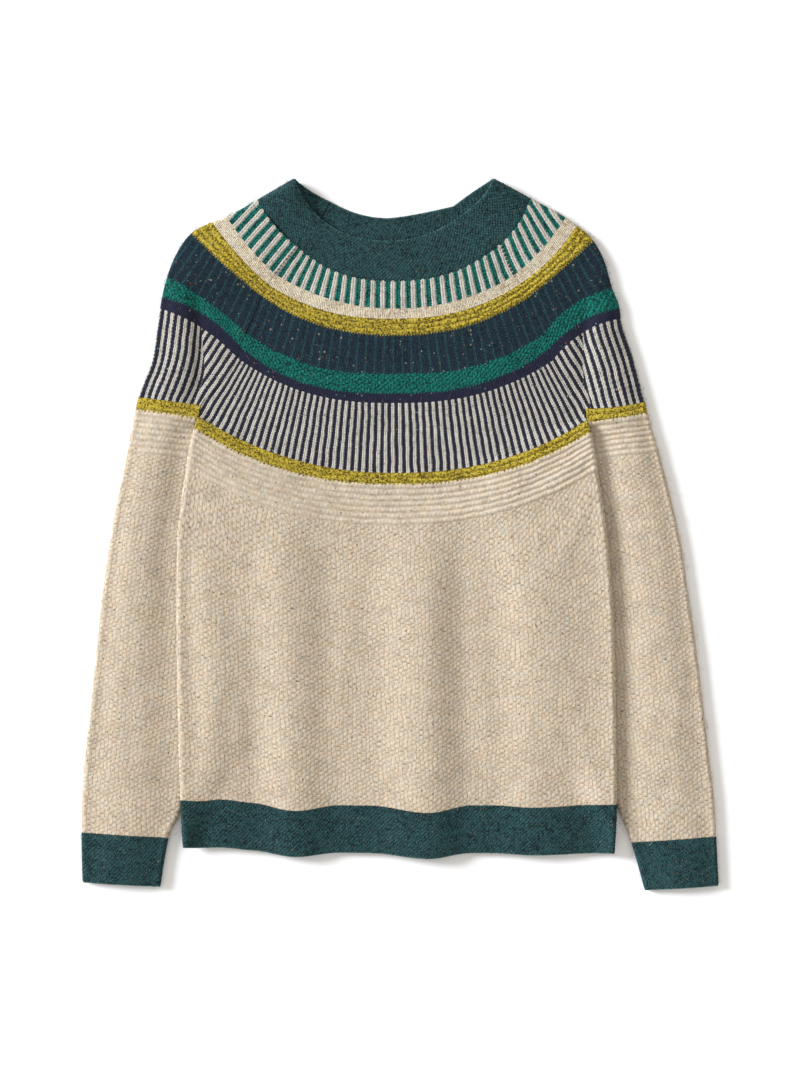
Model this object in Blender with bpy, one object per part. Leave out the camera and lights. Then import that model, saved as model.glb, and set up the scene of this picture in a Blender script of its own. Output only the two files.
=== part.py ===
"""A donegal tweed sweater with a round patterned yoke, laid flat and face up.

The garment is knitted in panels and linked: front, back, two raglan sleeves, hem welts,
cuffs and a neckband in four parts. Every piece is one cloth wall, lofted through course
lines (the rows of knitting) whose places stand in the short tables below.

Plan sizes in the tables are millimetres: x to the right from the middle of the garment,
y up from mid-length towards the neck. z is height above the surface it lies on.
"""
from collections import namedtuple
import math

import bmesh
import bpy
import numpy as np

MM = 0.001

# ---------------------------------------------------------------- driving dimensions
WALL = 3.0            # thickness of the knitted cloth
SEAM = 0.3            # space left between two linked pieces
SLEEVE_TOP_TRIM = 0.45    # the same at a sleeve's top, whose turned edge is not square to it
RAGLAN_TRIM = 0.2     # cut from each of the two pieces along a raglan seam
UNDERARM_EASE = 0.9   # how much more is cut from the sleeve at the tip of the underarm
LAYER_GAP = 0.6       # air between two layers that lie on each other
SIDE_GAP = 1.6        # the same at a turned side, where the fold is rounder
SIDE_FADE = 16.0      # how far from the side, or below the underarm, that takes to grow
SLEEVE_GAP = 4.6      # the same where a sleeve is full
SLEEVE_FADE = 30.0    # how far a sleeve takes to come down from its raised seam
OPEN_HEAD = 0.5       # share of the sleeve's gap where its head has no valley
FULL_FROM, FULL_TO = 0.3, 0.6     # shares of its shown width between which a sleeve is full
TURNED_SHARE = 0.22   # share of a sleeve's width that its turned edge rounds
NECK_GAP = 12.0       # the same at the two corners of the neck
NECK_FADE = 24.0      # how far from a corner the neck lies open
BRIDGE_FADE = 70.0    # how far from its sides the front takes to reach its full height
RIDGE = 0.7           # how far a garter ridge stands out
BACK_SHARE = 0.45     # share of a body fold that the back layer takes up
LIFT_FADE = 32.0      # how far the body takes to come down from the sleeve under it
LIFT_MARGIN = 10.0    # how far past the sleeve that begins
LIFT_EASE = 0.4       # spare height between the body and the sleeve under it
BACK_NECK_RISE = 22.0     # the back of the neck lies higher than the front
BACK_HEM_RISE = 1.5       # the back welt ends just inside the front one
FOLD_START, FOLD_FULL = 42.0, -70.0   # heights y between which the body folds grow

# How far the body must rise to lie on a sleeve
SLEEVE_LIFT = 2 * WALL + LAYER_GAP + RIDGE + LIFT_EASE

# ---------------------------------------------------------------- course lines of the yoke
# mid: height at the garment's middle. bow_l, bow_r: how sharply the line bends up.
# seam: on the raglan seam. turn: on the sleeve head, at its valley. fold: at the outline.
# valley: how far from the seam the valley lies (share of the line). tuck: its depth, 0 to 1.
Course = namedtuple("Course", "mid bow_l bow_r seam_l turn_l fold_l seam_r turn_r fold_r valley tuck")
YOKE = [
    # mustard edge at the underarm
    Course(61.0, 2.10, 2.35, (-201.8, 116.5), (-235.0, 121.5), (-264.6, 126.0),
           (187.0, 113.0), (217.0, 115.0), (248.0, 122.0), 0.00, 1.0),
    # mustard edge on the sleeves
    Course(69.0, 2.15, 2.30, (-199.2, 128.5), (-235.0, 133.5), (-262.0, 137.0),
           (185.5, 125.0), (215.0, 127.0), (245.4, 132.4), 0.06, 1.0),
    # middle of the navy and cream stripes
    Course(96.0, 2.30, 2.30, (-181.5, 146.5), (-198.0, 162.0), (-247.5, 178.0),
           (169.5, 143.0), (180.5, 153.0), (234.0, 175.0), 0.25, 1.0),
    # foot of the aubergine band
    Course(131.0, 2.50, 2.50, (-163.0, 176.5), (-199.5, 207.0), (-240.5, 226.0),
           (152.5, 173.5), (181.5, 200.5), (221.5, 216.0), 0.51, 1.0),
    # foot of the green garter band
    Course(141.5, 2.80, 2.60, (-160.0, 188.5), (-200.0, 222.5), (-238.4, 238.5),
           (149.0, 186.0), (182.0, 213.5), (220.0, 227.0), 0.56, 0.9),
    # foot of the navy band
    Course(161.0, 2.60, 2.60, (-154.0, 201.5), (-201.0, 239.5), (-233.0, 259.0),
           (143.5, 200.5), (183.0, 236.0), (212.5, 247.0), 0.60, 0.6),
    # middle of the navy band
    Course(180.5, 2.45, 2.45, (-145.5, 220.0), (-187.0, 253.0), (-223.5, 282.0),
           (135.5, 218.5), (172.0, 249.0), (205.0, 273.0), 0.60, 0.2),
    # foot of the upper mustard band
    Course(200.0, 2.34, 2.34, (-138.0, 239.0), (-171.0, 266.0), (-208.0, 302.5),
           (128.0, 238.0), (160.0, 264.5), (193.0, 295.0), 0.60, 0.0),
    # foot of the plain cream band
    Course(215.5, 2.40, 2.40, (-132.0, 250.0), (-160.0, 277.0), (-188.0, 312.5),
           (121.0, 251.0), (150.0, 275.0), (177.0, 309.0), 0.60, 0.0),
    # foot of the green and cream stripes
    Course(225.5, 2.05, 2.20, (-125.0, 260.0), (-150.0, 285.5), (-174.0, 318.0),
           (114.5, 259.0), (141.0, 284.0), (166.0, 317.0), 0.60, 0.0),
    # foot of the neckband
    Course(254.0, 2.60, 2.50, (-102.5, 288.5), (-124.0, 308.0), (-142.5, 335.5),
           (100.5, 291.0), (119.0, 312.0), (130.0, 337.0), 0.60, 0.0),
]
YOKE_MIDDLE_X = -7.0

# ---------------------------------------------------------------- neckband
# The same columns at the neckband's two edges, on the front and on the back.
NECK_FRONT = [
    YOKE[-1],
    Course(293.0, 2.50, 2.10, (-84.0, 319.0), (-96.0, 333.5), (-106.5, 355.6),
           (78.0, 332.0), (87.5, 342.5), (94.3, 355.6), 0.60, 0.0),
]
NECK_BACK = [
    Course(276.0, 2.30, 2.30, (-88.0, 298.0), (-116.0, 315.0), (-142.5, 335.5),
           (80.0, 298.0), (107.0, 315.0), (130.0, 337.0), 0.60, 0.0),
    Course(316.0, 2.10, 1.30, (-70.0, 332.5), (-88.0, 342.0), (-106.5, 355.6),
           (54.0, 328.0), (76.0, 344.0), (94.3, 355.6), 0.60, 0.0),
]
NECK_MIDDLE_X = -11.0

# ---------------------------------------------------------------- course lines of the body
# mid: height at the middle. bow: how sharply the line bends up. side: the body's outline.
# wave: how much of the hem's waves the line takes.
BodyLine = namedtuple("BodyLine", "mid bow_l bow_r side_l side_r wave")
BODY = [
    BodyLine(-318.7, 2.0, 2.0, (-217.5, -312.6), (215.0, -318.8), 0.75),   # foot of the welt
    BodyLine(-272.0, 2.0, 2.0, (-219.7, -266.0), (217.0, -270.5), 1.00),   # top of the welt
    BodyLine(-191.0, 2.0, 2.0, (-222.0, -181.0), (216.0, -184.0), 0.35),
    BodyLine(-106.0, 2.0, 2.0, (-223.5, -90.0), (214.0, -92.0), 0.00),
    BodyLine(-38.0, 2.2, 2.2, (-223.0, -11.0), (208.5, -12.0), 0.00),
    BodyLine(9.0, 2.3, 2.3, (-213.5, 67.0), (197.5, 64.0), 0.00),          # foot of the cream ridges
    BodyLine(50.7, 2.3, 2.4, (-205.4, 107.0), (190.5, 103.0), 0.00),       # foot of the mustard band
    BodyLine(61.0, 2.10, 2.35, YOKE[0].seam_l, YOKE[0].seam_r, 0.00),      # underarm
]
WELT_TOP, UNDERARM, NECK_FOOT = -272.0, 61.0, 254.0

# Soft folds that run down the body. x at the chest and at the hem, the widths to each
# side, the height, and how far the hem dips under the fold.
Fold = namedtuple("Fold", "x_chest x_hem left right height dip")
FOLDS = [
    Fold(-196.0, -178.0, 24.0, 34.0, 2.5, -2.5),
    Fold(-113.0, -106.0, 42.0, 46.0, 6.0, 6.0),
    Fold(24.0, 29.0, 60.0, 42.0, 7.5, 6.6),
    Fold(130.0, 135.0, 44.0, 66.0, 4.5, 2.2),
]
CHEST_Y, HEM_Y = -6.0, -272.0
# How far the front is held up between the sleeves under its two sides, against the height y.
BRIDGE = [(-319.5, 0.0), (-230.0, 2.4), (-120.0, 5.0), (20.0, 5.0), (110.0, 2.6), (254.0, 0.0)]

# ---------------------------------------------------------------- sleeves below the underarm
# down: how far below the underarm. outer: on the outline. inner: the hidden inner fold.
# hidden: the share of the width that lies under the body.
SleeveLine = namedtuple("SleeveLine", "down outer inner hidden")
SLEEVE_LEFT = [
    SleeveLine(0, YOKE[0].fold_l, YOKE[0].seam_l, 0.00),
    SleeveLine(8, (-266.3, 118.0), (-210.5, 108.5), 0.00),
    SleeveLine(22, (-269.0, 105.0), (-178.0, 94.0), 0.33),
    SleeveLine(55, (-275.0, 73.0), (-142.0, 58.0), 0.54),
    SleeveLine(100, (-284.0, 31.0), (-138.0, 18.0), 0.55),
    SleeveLine(140, (-291.0, -8.0), (-150.0, -19.0), 0.52),
    SleeveLine(190, (-298.0, -58.0), (-164.0, -68.0), 0.45),
    SleeveLine(250, (-304.5, -118.0), (-183.0, -127.0), 0.33),
    SleeveLine(305, (-310.0, -172.0), (-198.0, -179.0), 0.21),
    SleeveLine(365, (-316.5, -232.0), (-211.0, -238.0), 0.09),
    SleeveLine(400, (-319.0, -266.0), (-217.0, -272.0), 0.03),
    SleeveLine(430, (-319.4, -299.0), (-231.5, -304.3), 0.00),
    SleeveLine(478, (-318.3, -348.0), (-240.0, -352.5), 0.00),
]
SLEEVE_RIGHT = [
    SleeveLine(0, YOKE[0].fold_r, YOKE[0].seam_r, 0.00),
    SleeveLine(8, (250.5, 113.0), (195.5, 105.5), 0.00),
    SleeveLine(22, (253.5, 102.0), (165.0, 91.0), 0.33),
    SleeveLine(55, (262.0, 73.0), (130.0, 60.0), 0.50),
    SleeveLine(100, (273.0, 30.0), (126.0, 19.0), 0.52),
    SleeveLine(140, (282.0, -12.0), (138.0, -22.0), 0.49),
    SleeveLine(190, (289.0, -60.0), (152.0, -68.0), 0.44),
    SleeveLine(250, (297.5, -118.0), (173.0, -124.0), 0.33),
    SleeveLine(305, (304.0, -172.0), (189.5, -177.0), 0.23),
    SleeveLine(365, (311.0, -232.0), (205.0, -236.0), 0.10),
    SleeveLine(400, (315.0, -267.0), (216.5, -270.0), 0.01),
    SleeveLine(430, (317.0, -303.0), (231.6, -309.0), 0.00),
    SleeveLine(478, (319.5, -351.5), (245.0, -356.0), 0.00),
]
CUFF_TOP, CUFF_FOOT = 430, 478
TIP_END = 8.0              # down: below this the sleeve is a whole tube
SHOWN_START, SHOWN_FADE = 395.0, 30.0     # down: where it comes out from under the body
HIDDEN_MARGIN = 0.035      # share of the width past the body's edge where a sleeve fills out
# Above the underarm the body comes down again: how far out the lift has drawn back there.
LIFT_GUARD = [(-0.5, -16.0), (11.0, -22.0), (22.0, -32.0)]    # y above the underarm, x from it
FAR_UP, FAR_DOWN = 400.0, -600.0

# ---------------------------------------------------------------- zones of the knitting
# Each zone runs between two heights of the middle line. A garter zone has ridges;
# another is divided into plain cells.
Zone = namedtuple("Zone", "yarn start end ridges cells")
FRONT_ZONES = [
    Zone("cream", -272.0, 9.0, 0, 7),
    Zone("cream", 9.0, 50.7, 7, 0),
    Zone("mustard", 50.7, 61.0, 2, 0),
    Zone("stripe", 61.0, 69.0, 0, 1),
    Zone("stripe", 69.0, 131.0, 0, 4),
    Zone("aubergine", 131.0, 141.5, 0, 1),
    Zone("green", 141.5, 161.0, 3, 0),
    Zone("navy", 161.0, 200.0, 0, 2),
    Zone("mustard", 200.0, 215.5, 3, 0),
    Zone("cream", 215.5, 225.5, 0, 1),
    Zone("green", 225.5, 254.0, 0, 2),
]
SLEEVE_YOKE_ZONES = [Zone("mustard", 61.0, 69.0, 2, 0)] + FRONT_ZONES[4:]
# The sleeve below the underarm, measured down from it
SLEEVE_ZONES = [
    Zone("cream", 430, 250, 0, 3),
    Zone("cream", 250, 45, 0, 6),
    Zone("cream", 45, 0, 7, 0),
]

# Colours read off the yarns, and the roughness of wool
YARNS = {
    "cream": (0.60, 0.52, 0.40),
    "mustard": (0.42, 0.33, 0.04),
    "stripe": (0.26, 0.25, 0.26),
    "aubergine": (0.022, 0.020, 0.045),
    "green": (0.012, 0.16, 0.11),
    "navy": (0.018, 0.035, 0.055),
    "spruce": (0.015, 0.060, 0.065),
}
WOOL_ROUGHNESS = 0.9

PANEL_CELLS = 22      # across the front and back
SLEEVE_FRONT_CELLS = 12    # across the upper layer of a sleeve
SLEEVE_BACK_CELLS = 8      # across its lower layer
HEM_ROWS, CUFF_ROWS, NECKBAND_ROWS = 4, 5, 5
TURN_STEPS = (0.0, 1.7, 3.4)     # how far from an edge the first columns lie, along the cloth
TURN_MARGIN = 9.0                # where the evenly spaced columns begin
RIGHT_ANGLE = math.pi / 2
END_TURN = RIGHT_ANGLE - 0.16    # a turned edge stops just short of the one it meets
SHARP_EDGE = math.radians(50)


# ---------------------------------------------------------------- small helpers
def smooth(share):
    """0 below 0, 1 above 1, and a soft step between."""
    share = min(1.0, max(0.0, share))
    return share * share * (3.0 - 2.0 * share)


def hump(offset, left, right):
    """A soft ridge, 1 at offset 0, that ends at -left and +right."""
    reach = right if offset > 0 else left
    return 0.5 + 0.5 * math.cos(math.pi * min(1.0, abs(offset) / reach))


def flatten(row):
    """A table row as one list of numbers, so that it can be interpolated."""
    numbers = []
    for entry in row:
        numbers.extend(entry if isinstance(entry, tuple) else (entry,))
    return numbers


def unflatten(kind, pattern, numbers):
    """The opposite of flatten, after the pattern of another row."""
    values, at = [], 0
    for entry in pattern:
        if isinstance(entry, tuple):
            values.append((numbers[at], numbers[at + 1]))
            at += 2
        else:
            values.append(numbers[at])
            at += 1
    return kind(*values)


def slopes(knots, values):
    """Slopes of a curve through the values that never overshoots them."""
    steps = np.diff(knots)
    rises = np.diff(values) / steps
    result = np.zeros(len(knots))
    result[0], result[-1] = rises[0], rises[-1]
    for i in range(1, len(knots) - 1):
        before, after = rises[i - 1], rises[i]
        if before * after > 0:
            w1 = 2 * steps[i] + steps[i - 1]
            w2 = steps[i] + 2 * steps[i - 1]
            result[i] = (w1 + w2) / (w1 / before + w2 / after)
    return result


def curve_at(knots, values, place):
    """The value at a place on a smooth curve through (knots, values)."""
    knots = np.asarray(knots, float)
    values = np.asarray(values, float)
    place = min(knots[-1], max(knots[0], place))
    i = min(len(knots) - 2, int(np.searchsorted(knots, place, side="right")) - 1)
    width = knots[i + 1] - knots[i]
    u = (place - knots[i]) / width
    m = slopes(knots, values)
    return ((1 + 2 * u) * (1 - u) ** 2 * values[i] + u * (1 - u) ** 2 * width * m[i]
            + u * u * (3 - 2 * u) * values[i + 1] + u * u * (u - 1) * width * m[i + 1])


def table_at(table, place):
    """A whole table row, interpolated at a place of its first column."""
    knots = [row[0] for row in table]
    columns = np.array([flatten(row) for row in table])
    numbers = [curve_at(knots, columns[:, c], place) for c in range(columns.shape[1])]
    return unflatten(type(table[0]), table[0], numbers)


def back_of(course):
    """The same course line on the back, where the neck lies higher."""
    share = smooth((course.mid - UNDERARM) / (NECK_FOOT - UNDERARM))
    front_foot, back_foot = NECK_FRONT[0], NECK_BACK[0]

    def moved(name):
        front_end, back_end = getattr(front_foot, name), getattr(back_foot, name)
        here = getattr(course, name)
        return (here[0] + share * (back_end[0] - front_end[0]),
                here[1] + share * (back_end[1] - front_end[1]))

    return course._replace(mid=course.mid + BACK_NECK_RISE * share, seam_l=moved("seam_l"),
                           seam_r=moved("seam_r"), turn_l=moved("turn_l"), turn_r=moved("turn_r"))


# ---------------------------------------------------------------- plan curves
def polyline(points):
    """A plan curve with its running length."""
    points = np.asarray(points, float)
    lengths = np.concatenate([[0.0], np.cumsum(np.hypot(*np.diff(points, axis=0).T))])
    return points, lengths


def walk(line, distance):
    """The plan point at a distance along a plan curve."""
    points, lengths = line
    distance = min(lengths[-1], max(0.0, distance))
    return np.array([np.interp(distance, lengths, points[:, 0]),
                     np.interp(distance, lengths, points[:, 1])])


def hem_dip(x):
    """How far the hem's waves pull a body line down at x."""
    return sum(fold.dip * hump(x - fold.x_hem, fold.left, fold.right) for fold in FOLDS)


def bowed_line(mid_x, mid, bow_l, bow_r, left, right, wave=0.0):
    """The course line across a panel: level in the middle, bending up to both ends."""
    points = []
    for share in np.linspace(-1.0, 1.0, 61):
        end, bow = (left, bow_l) if share < 0 else (right, bow_r)
        reach = abs(share)
        x = mid_x + (end[0] - mid_x) * reach
        y = mid + (end[1] - mid) * reach ** bow
        points.append((x, y - wave * hem_dip(x)))
    return polyline(points)


def head_line(seam, turn, fold):
    """The course line across a sleeve head, through three named points."""
    seam, turn, fold = (np.array(p) for p in (seam, turn, fold))
    first = np.linalg.norm(turn - seam)
    m = first / (first + np.linalg.norm(fold - turn))
    points = []
    for u in np.linspace(0.0, 1.0, 25):
        points.append(seam * (u - m) * (u - 1) / m + turn * u * (u - 1) / (m * (m - 1))
                      + fold * u * (u - m) / (1 - m))
    return polyline(points)


# ---------------------------------------------------------------- heights
def inner_fold_curve(table, side):
    """x of a sleeve's hidden inner fold against y, with the body's margin around it."""
    underarm = table[0].inner
    rows = [(FAR_DOWN, table[-1].inner[0])]
    rows += [(line.inner[1], line.inner[0] - side * LIFT_MARGIN) for line in reversed(table[1:])]
    rows += [(underarm[1] + up, underarm[0] - side * out) for up, out in LIFT_GUARD]
    rows += [(FAR_UP, underarm[0] + side * 200.0)]
    return [row[0] for row in rows], [row[1] for row in rows]


# side is -1 on the left and +1 on the right
UNDER_BODY = {-1: inner_fold_curve(SLEEVE_LEFT, -1), 1: inner_fold_curve(SLEEVE_RIGHT, 1)}


def body_lift(x, y):
    """How far the body is held up by the sleeves that lie under its sides."""
    lift = 0.0
    for side, (ys, xs) in UNDER_BODY.items():
        beyond = side * (curve_at(ys, xs, y) - x)
        lift = max(lift, SLEEVE_LIFT * smooth(1.0 - beyond / LIFT_FADE))
    return lift


def body_fold(x, y):
    """Height of the soft folds that run down the body."""
    grown = smooth((FOLD_START - y) / (FOLD_START - FOLD_FULL))
    total = 0.0
    for fold in FOLDS:
        centre = np.interp(y, [HEM_Y, CHEST_Y], [fold.x_hem, fold.x_chest])
        total = max(total, fold.height * hump(x - centre, fold.left, fold.right))
    return grown * total


def front_rise(lift, y, near):
    """How far the front lies above its rest on the back, at a distance from its sides."""
    held = curve_at([row[0] for row in BRIDGE], [row[1] for row in BRIDGE], y)
    return max(0.0, held - lift) * smooth(near / BRIDGE_FADE)


def panel_heights(sided):
    """Mid-wall heights of the body's back and front layer, from a place on the line.

    sided is 1 where the panels meet in a turned side, and 0 along the raglan seams.
    """
    def heights(x, y, start, finish):
        fold, lift = body_fold(x, y), body_lift(x, y)
        back = WALL / 2 + lift + BACK_SHARE * fold
        near = min(start, finish)
        gap = LAYER_GAP + (1 - BACK_SHARE) * fold + front_rise(lift, y, near)
        gap += sided * (SIDE_GAP - LAYER_GAP) * (1.0 - smooth(near / SIDE_FADE))
        return back, back + WALL + gap
    return heights


def fullness(past):
    """How full a sleeve is, 0 to 1, at a share of its shown width from the body's edge."""
    return smooth(past / FULL_FROM) * smooth((1.0 - past) / (1.0 - FULL_TO))


def turned_gap(share):
    """The gap near a sleeve's turned edge, at a share of its width from that edge."""
    return LAYER_GAP + (SIDE_GAP - LAYER_GAP) * (1.0 - smooth(share / TURNED_SHARE))


def head_heights(course, seam_lift):
    """The same on a sleeve head. start is measured from the raglan seam."""
    def heights(x, y, start, finish):
        share = start / (start + finish)
        back = WALL / 2 + seam_lift * (1.0 - smooth(start / SLEEVE_FADE))
        past = min(1.0, max(0.0, (share - course.valley) / (1.0 - course.valley)))
        puff = course.tuck * fullness(past)
        puff += OPEN_HEAD * (1.0 - course.tuck) * math.sin(math.pi * share)
        gap = LAYER_GAP + (SLEEVE_GAP - LAYER_GAP) * puff
        return back, back + WALL + max(gap, turned_gap(1.0 - share))
    return heights


def sleeve_heights(line, seam_lift):
    """The same below the underarm. start is measured from the hidden inner fold."""
    settle = 1.0 - smooth(line.down / TIP_END)
    shown = smooth((line.down - SHOWN_START) / SHOWN_FADE)
    shown_from = line.hidden + HIDDEN_MARGIN * smooth(line.hidden / HIDDEN_MARGIN)

    def heights(x, y, start, finish):
        share = start / (start + finish)
        back = WALL / 2 + settle * seam_lift * (1.0 - smooth(start / SLEEVE_FADE))
        past = min(1.0, max(0.0, (share - shown_from) / (1.0 - shown_from)))
        gap = LAYER_GAP + (SLEEVE_GAP - LAYER_GAP) * fullness(past)
        gap = max(gap, turned_gap(1.0 - share))
        if shown > 0.0:
            gap = max(gap, LAYER_GAP + shown * (turned_gap(share) - LAYER_GAP))
        return back, back + WALL + gap
    return heights


def neck_heights(rise, both_corners=False):
    """The same on the neckband, which stands up more towards its two corners.

    rise is 0 at the band's foot and 1 at its edge.
    """
    def heights(x, y, start, finish):
        near = min(start, finish) if both_corners else finish
        corner = math.exp(-(near / NECK_FADE) ** 2)
        gap = LAYER_GAP + (SIDE_GAP - LAYER_GAP) * corner
        gap += rise * (NECK_GAP - SIDE_GAP) * corner
        back = WALL / 2
        return back, back + WALL + gap
    return heights


def neck_panel_heights(rise, reach):
    """The same on the front or back part, whose two ends lie a reach from the corners."""
    whole = neck_heights(rise, True)

    def heights(x, y, start, finish):
        return whole(x, y, start + reach, finish + reach)
    return heights


# ---------------------------------------------------------------- laying one row of cloth
def cloth_row(line, steps, heights, front, turn_start=0.0, turn_finish=0.0):
    """Mid-wall points of one row, along a plan curve.

    turn_start and turn_finish are the angles that the cloth turns through at its two ends:
    a right angle at a side or an outline, nothing at a raglan seam. steps runs from 0 to 1.
    """
    full = line[1][-1]

    def radius(distance):
        x, y = walk(line, distance)
        back, top = heights(x, y, distance, full - distance)
        return (top - back) / 2

    r_start, r_finish = radius(2.0), radius(full - 2.0)
    off_start = (r_start + WALL / 2) * math.sin(turn_start)
    off_finish = (r_finish + WALL / 2) * math.sin(turn_finish)
    arc_start, arc_finish = r_start * turn_start, r_finish * turn_finish
    flat = full - off_start - off_finish
    total = arc_start + flat + arc_finish
    points = []
    for share in steps:
        run = share_to_run(share, total)
        if run < arc_start:
            angle, r = turn_start - run / r_start, r_start
            distance = off_start - r * math.sin(angle)
        elif run > total - arc_finish:
            angle, r = turn_finish - (total - run) / r_finish, r_finish
            distance = full - off_finish + r * math.sin(angle)
        else:
            angle, r = 0.0, 0.0
            distance = off_start + run - arc_start
        x, y = walk(line, distance)
        back, top = heights(x, y, distance, full - distance)
        drop = r * (1.0 - math.cos(angle))
        points.append((x, y, top - drop if front else back + drop))
    return points


def share_to_run(share, total):
    """Steps below 0 or above 1 are millimetres from an end; others share what is between."""
    if share < 0:
        return -share - 1.0
    if share > 1:
        return total - (share - 2.0)
    return TURN_MARGIN + share * (total - 2 * TURN_MARGIN)


def steps_across(cells):
    """Column places across a piece: close together at the turned ends, even between."""
    inside = cells - 2 * len(TURN_STEPS)
    return ([-1.0 - step for step in TURN_STEPS] + list(np.linspace(0.0, 1.0, inside + 1))
            + [2.0 + step for step in reversed(TURN_STEPS)])


PANEL_STEPS = steps_across(PANEL_CELLS)
UPPER_STEPS = steps_across(SLEEVE_FRONT_CELLS)
LOWER_STEPS = steps_across(SLEEVE_BACK_CELLS)


# ---------------------------------------------------------------- rows of a zone list
Row = namedtuple("Row", "place yarn raised kept")


def zone_rows(zones):
    """The rows of knitting that a list of zones gives, from its start to its end."""
    rows = []
    for zone in zones:
        count = 2 * zone.ridges or zone.cells
        for i in range(count):
            place = zone.start + (zone.end - zone.start) * i / count
            crest = zone.ridges > 0 and i % 2 == 1
            kept = (i % 4 == 0) if zone.ridges else True
            rows.append(Row(place, zone.yarn, RIDGE if crest else 0.0, kept))
    rows.append(Row(zones[-1].end, zones[-1].yarn, 0.0, True))
    return rows


# ---------------------------------------------------------------- building a wall
def wool(yarn):
    """One material for each yarn."""
    material = bpy.data.materials.get(yarn)
    if material is None:
        material = bpy.data.materials.new(yarn)
        material.use_nodes = True
        shader = material.node_tree.nodes["Principled BSDF"]
        shader.inputs["Base Color"].default_value = (*YARNS[yarn], 1.0)
        shader.inputs["Roughness"].default_value = WOOL_ROUGHNESS
        shader.inputs["Metallic"].default_value = 0.0
    return material


def cloth_wall(name, rows, points, outward):
    """One closed cloth wall: an outer skin with its ridges over a plain inner skin.

    points holds the mid-wall points of each row, and outward is +1 or -1, the side of the
    cloth that faces out.
    """
    points = np.array(points)
    along = np.gradient(points, axis=1, edge_order=2)
    across = np.gradient(points, axis=0)
    normals = np.cross(along, across)
    normals *= outward / np.linalg.norm(normals, axis=2, keepdims=True)
    raised = np.array([row.raised for row in rows])[:, None]
    # the underside rests flat, so the ridges fade out round the turned edge
    fade_from, fade_to = -0.2, 0.3
    shown = np.clip((normals[:, :, 2] - fade_from) / (fade_to - fade_from), 0.0, 1.0)
    outer = points + normals * (WALL / 2 + raised * shown)[:, :, None]
    inner = points - normals * (WALL / 2)

    kept = [i for i, row in enumerate(rows) if row.kept]
    columns = points.shape[1]
    mesh = bpy.data.meshes.new(name)
    bm = bmesh.new()
    out_verts = [[bm.verts.new(p * MM) for p in line] for line in outer]
    in_verts = {i: [bm.verts.new(p * MM) for p in inner[i]] for i in kept}
    yarns = sorted({row.yarn for row in rows})

    def face(corners, yarn):
        bm.faces.new(corners).material_index = yarns.index(yarn)

    for i in range(len(rows) - 1):
        for j in range(columns - 1):
            face((out_verts[i][j], out_verts[i][j + 1], out_verts[i + 1][j + 1],
                  out_verts[i + 1][j]), rows[i].yarn)
    for low, high in zip(kept, kept[1:]):
        for j in range(columns - 1):
            face((in_verts[low][j], in_verts[high][j], in_verts[high][j + 1],
                  in_verts[low][j + 1]), rows[low].yarn)
        for j in (0, columns - 1):
            edge = [out_verts[i][j] for i in range(low, high + 1)]
            edge += [in_verts[high][j], in_verts[low][j]]
            face(edge if j == 0 else edge[::-1], rows[low].yarn)
    for i, flip in ((0, 1), (len(rows) - 1, -1)):
        for j in range(columns - 1):
            rim = (out_verts[i][j + 1], out_verts[i][j], in_verts[i][j], in_verts[i][j + 1])
            face(rim[::flip], rows[min(i, len(rows) - 2)].yarn)
    bmesh.ops.recalc_face_normals(bm, faces=bm.faces)
    bm.to_mesh(mesh)
    bm.free()
    for yarn in yarns:
        mesh.materials.append(wool(yarn))
    mesh.shade_smooth()
    mesh.set_sharp_from_angle(angle=SHARP_EDGE)
    piece = bpy.data.objects.new(name, mesh)
    bpy.context.scene.collection.objects.link(piece)
    return piece


# ---------------------------------------------------------------- the pieces
def trimmed(line, start, finish):
    """A plan curve with a little cut off its two ends."""
    points, lengths = line
    inside = [p for p, at in zip(points, lengths) if start < at < lengths[-1] - finish]
    return polyline([walk(line, start)] + inside + [walk(line, lengths[-1] - finish)])


def yoke_line(course):
    """The course line across the front or back panel of the yoke, short of its seams."""
    line = bowed_line(YOKE_MIDDLE_X, course.mid, course.bow_l, course.bow_r,
                      course.seam_l, course.seam_r)
    return trimmed(line, RAGLAN_TRIM, RAGLAN_TRIM)


def body_line(place):
    """The course line across the body below the underarm, and how far its sides turn."""
    line = table_at(BODY, place)
    turned = smooth((UNDERARM - place) / SIDE_FADE)
    curve = bowed_line(YOKE_MIDDLE_X, line.mid, line.bow_l, line.bow_r,
                       line.side_l, line.side_r, line.wave)
    spare = RAGLAN_TRIM * (1.0 - turned)
    return trimmed(curve, spare, spare), turned


def panel_points(rows, front):
    """Mid-wall points of a body panel or of its welt."""
    result = []
    for row in rows:
        if row.place <= UNDERARM:
            line, turned = body_line(row.place)
            heights = panel_heights(turned)
            turn = END_TURN * turned
        else:
            course = table_at(YOKE, row.place)
            line = yoke_line(course if front else back_of(course))
            heights = panel_heights(0.0)
            turn = 0.0
        result.append(cloth_row(line, PANEL_STEPS, heights, front, turn, turn))
    return result


def seam_gap_rows(rows, low=0.0, high=0.0):
    """The same rows, with the first or last place drawn in to leave a seam's gap."""
    first, last = rows[0], rows[-1]
    rows = list(rows)
    rows[0] = first._replace(place=first.place + low)
    rows[-1] = last._replace(place=last.place - high)
    return rows


def make_panels():
    """Front and back panels, from the hem welt to the neckband."""
    rows = zone_rows(FRONT_ZONES)
    front_rows = seam_gap_rows(rows, SEAM, SEAM)
    cloth_wall("front_panel", front_rows, panel_points(front_rows, True), 1)
    plain_rows = [row._replace(raised=0.0) for row in rows if row.kept]
    back_rows = seam_gap_rows(plain_rows, SEAM, SEAM)
    cloth_wall("back_panel", back_rows, panel_points(back_rows, False), -1)


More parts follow.
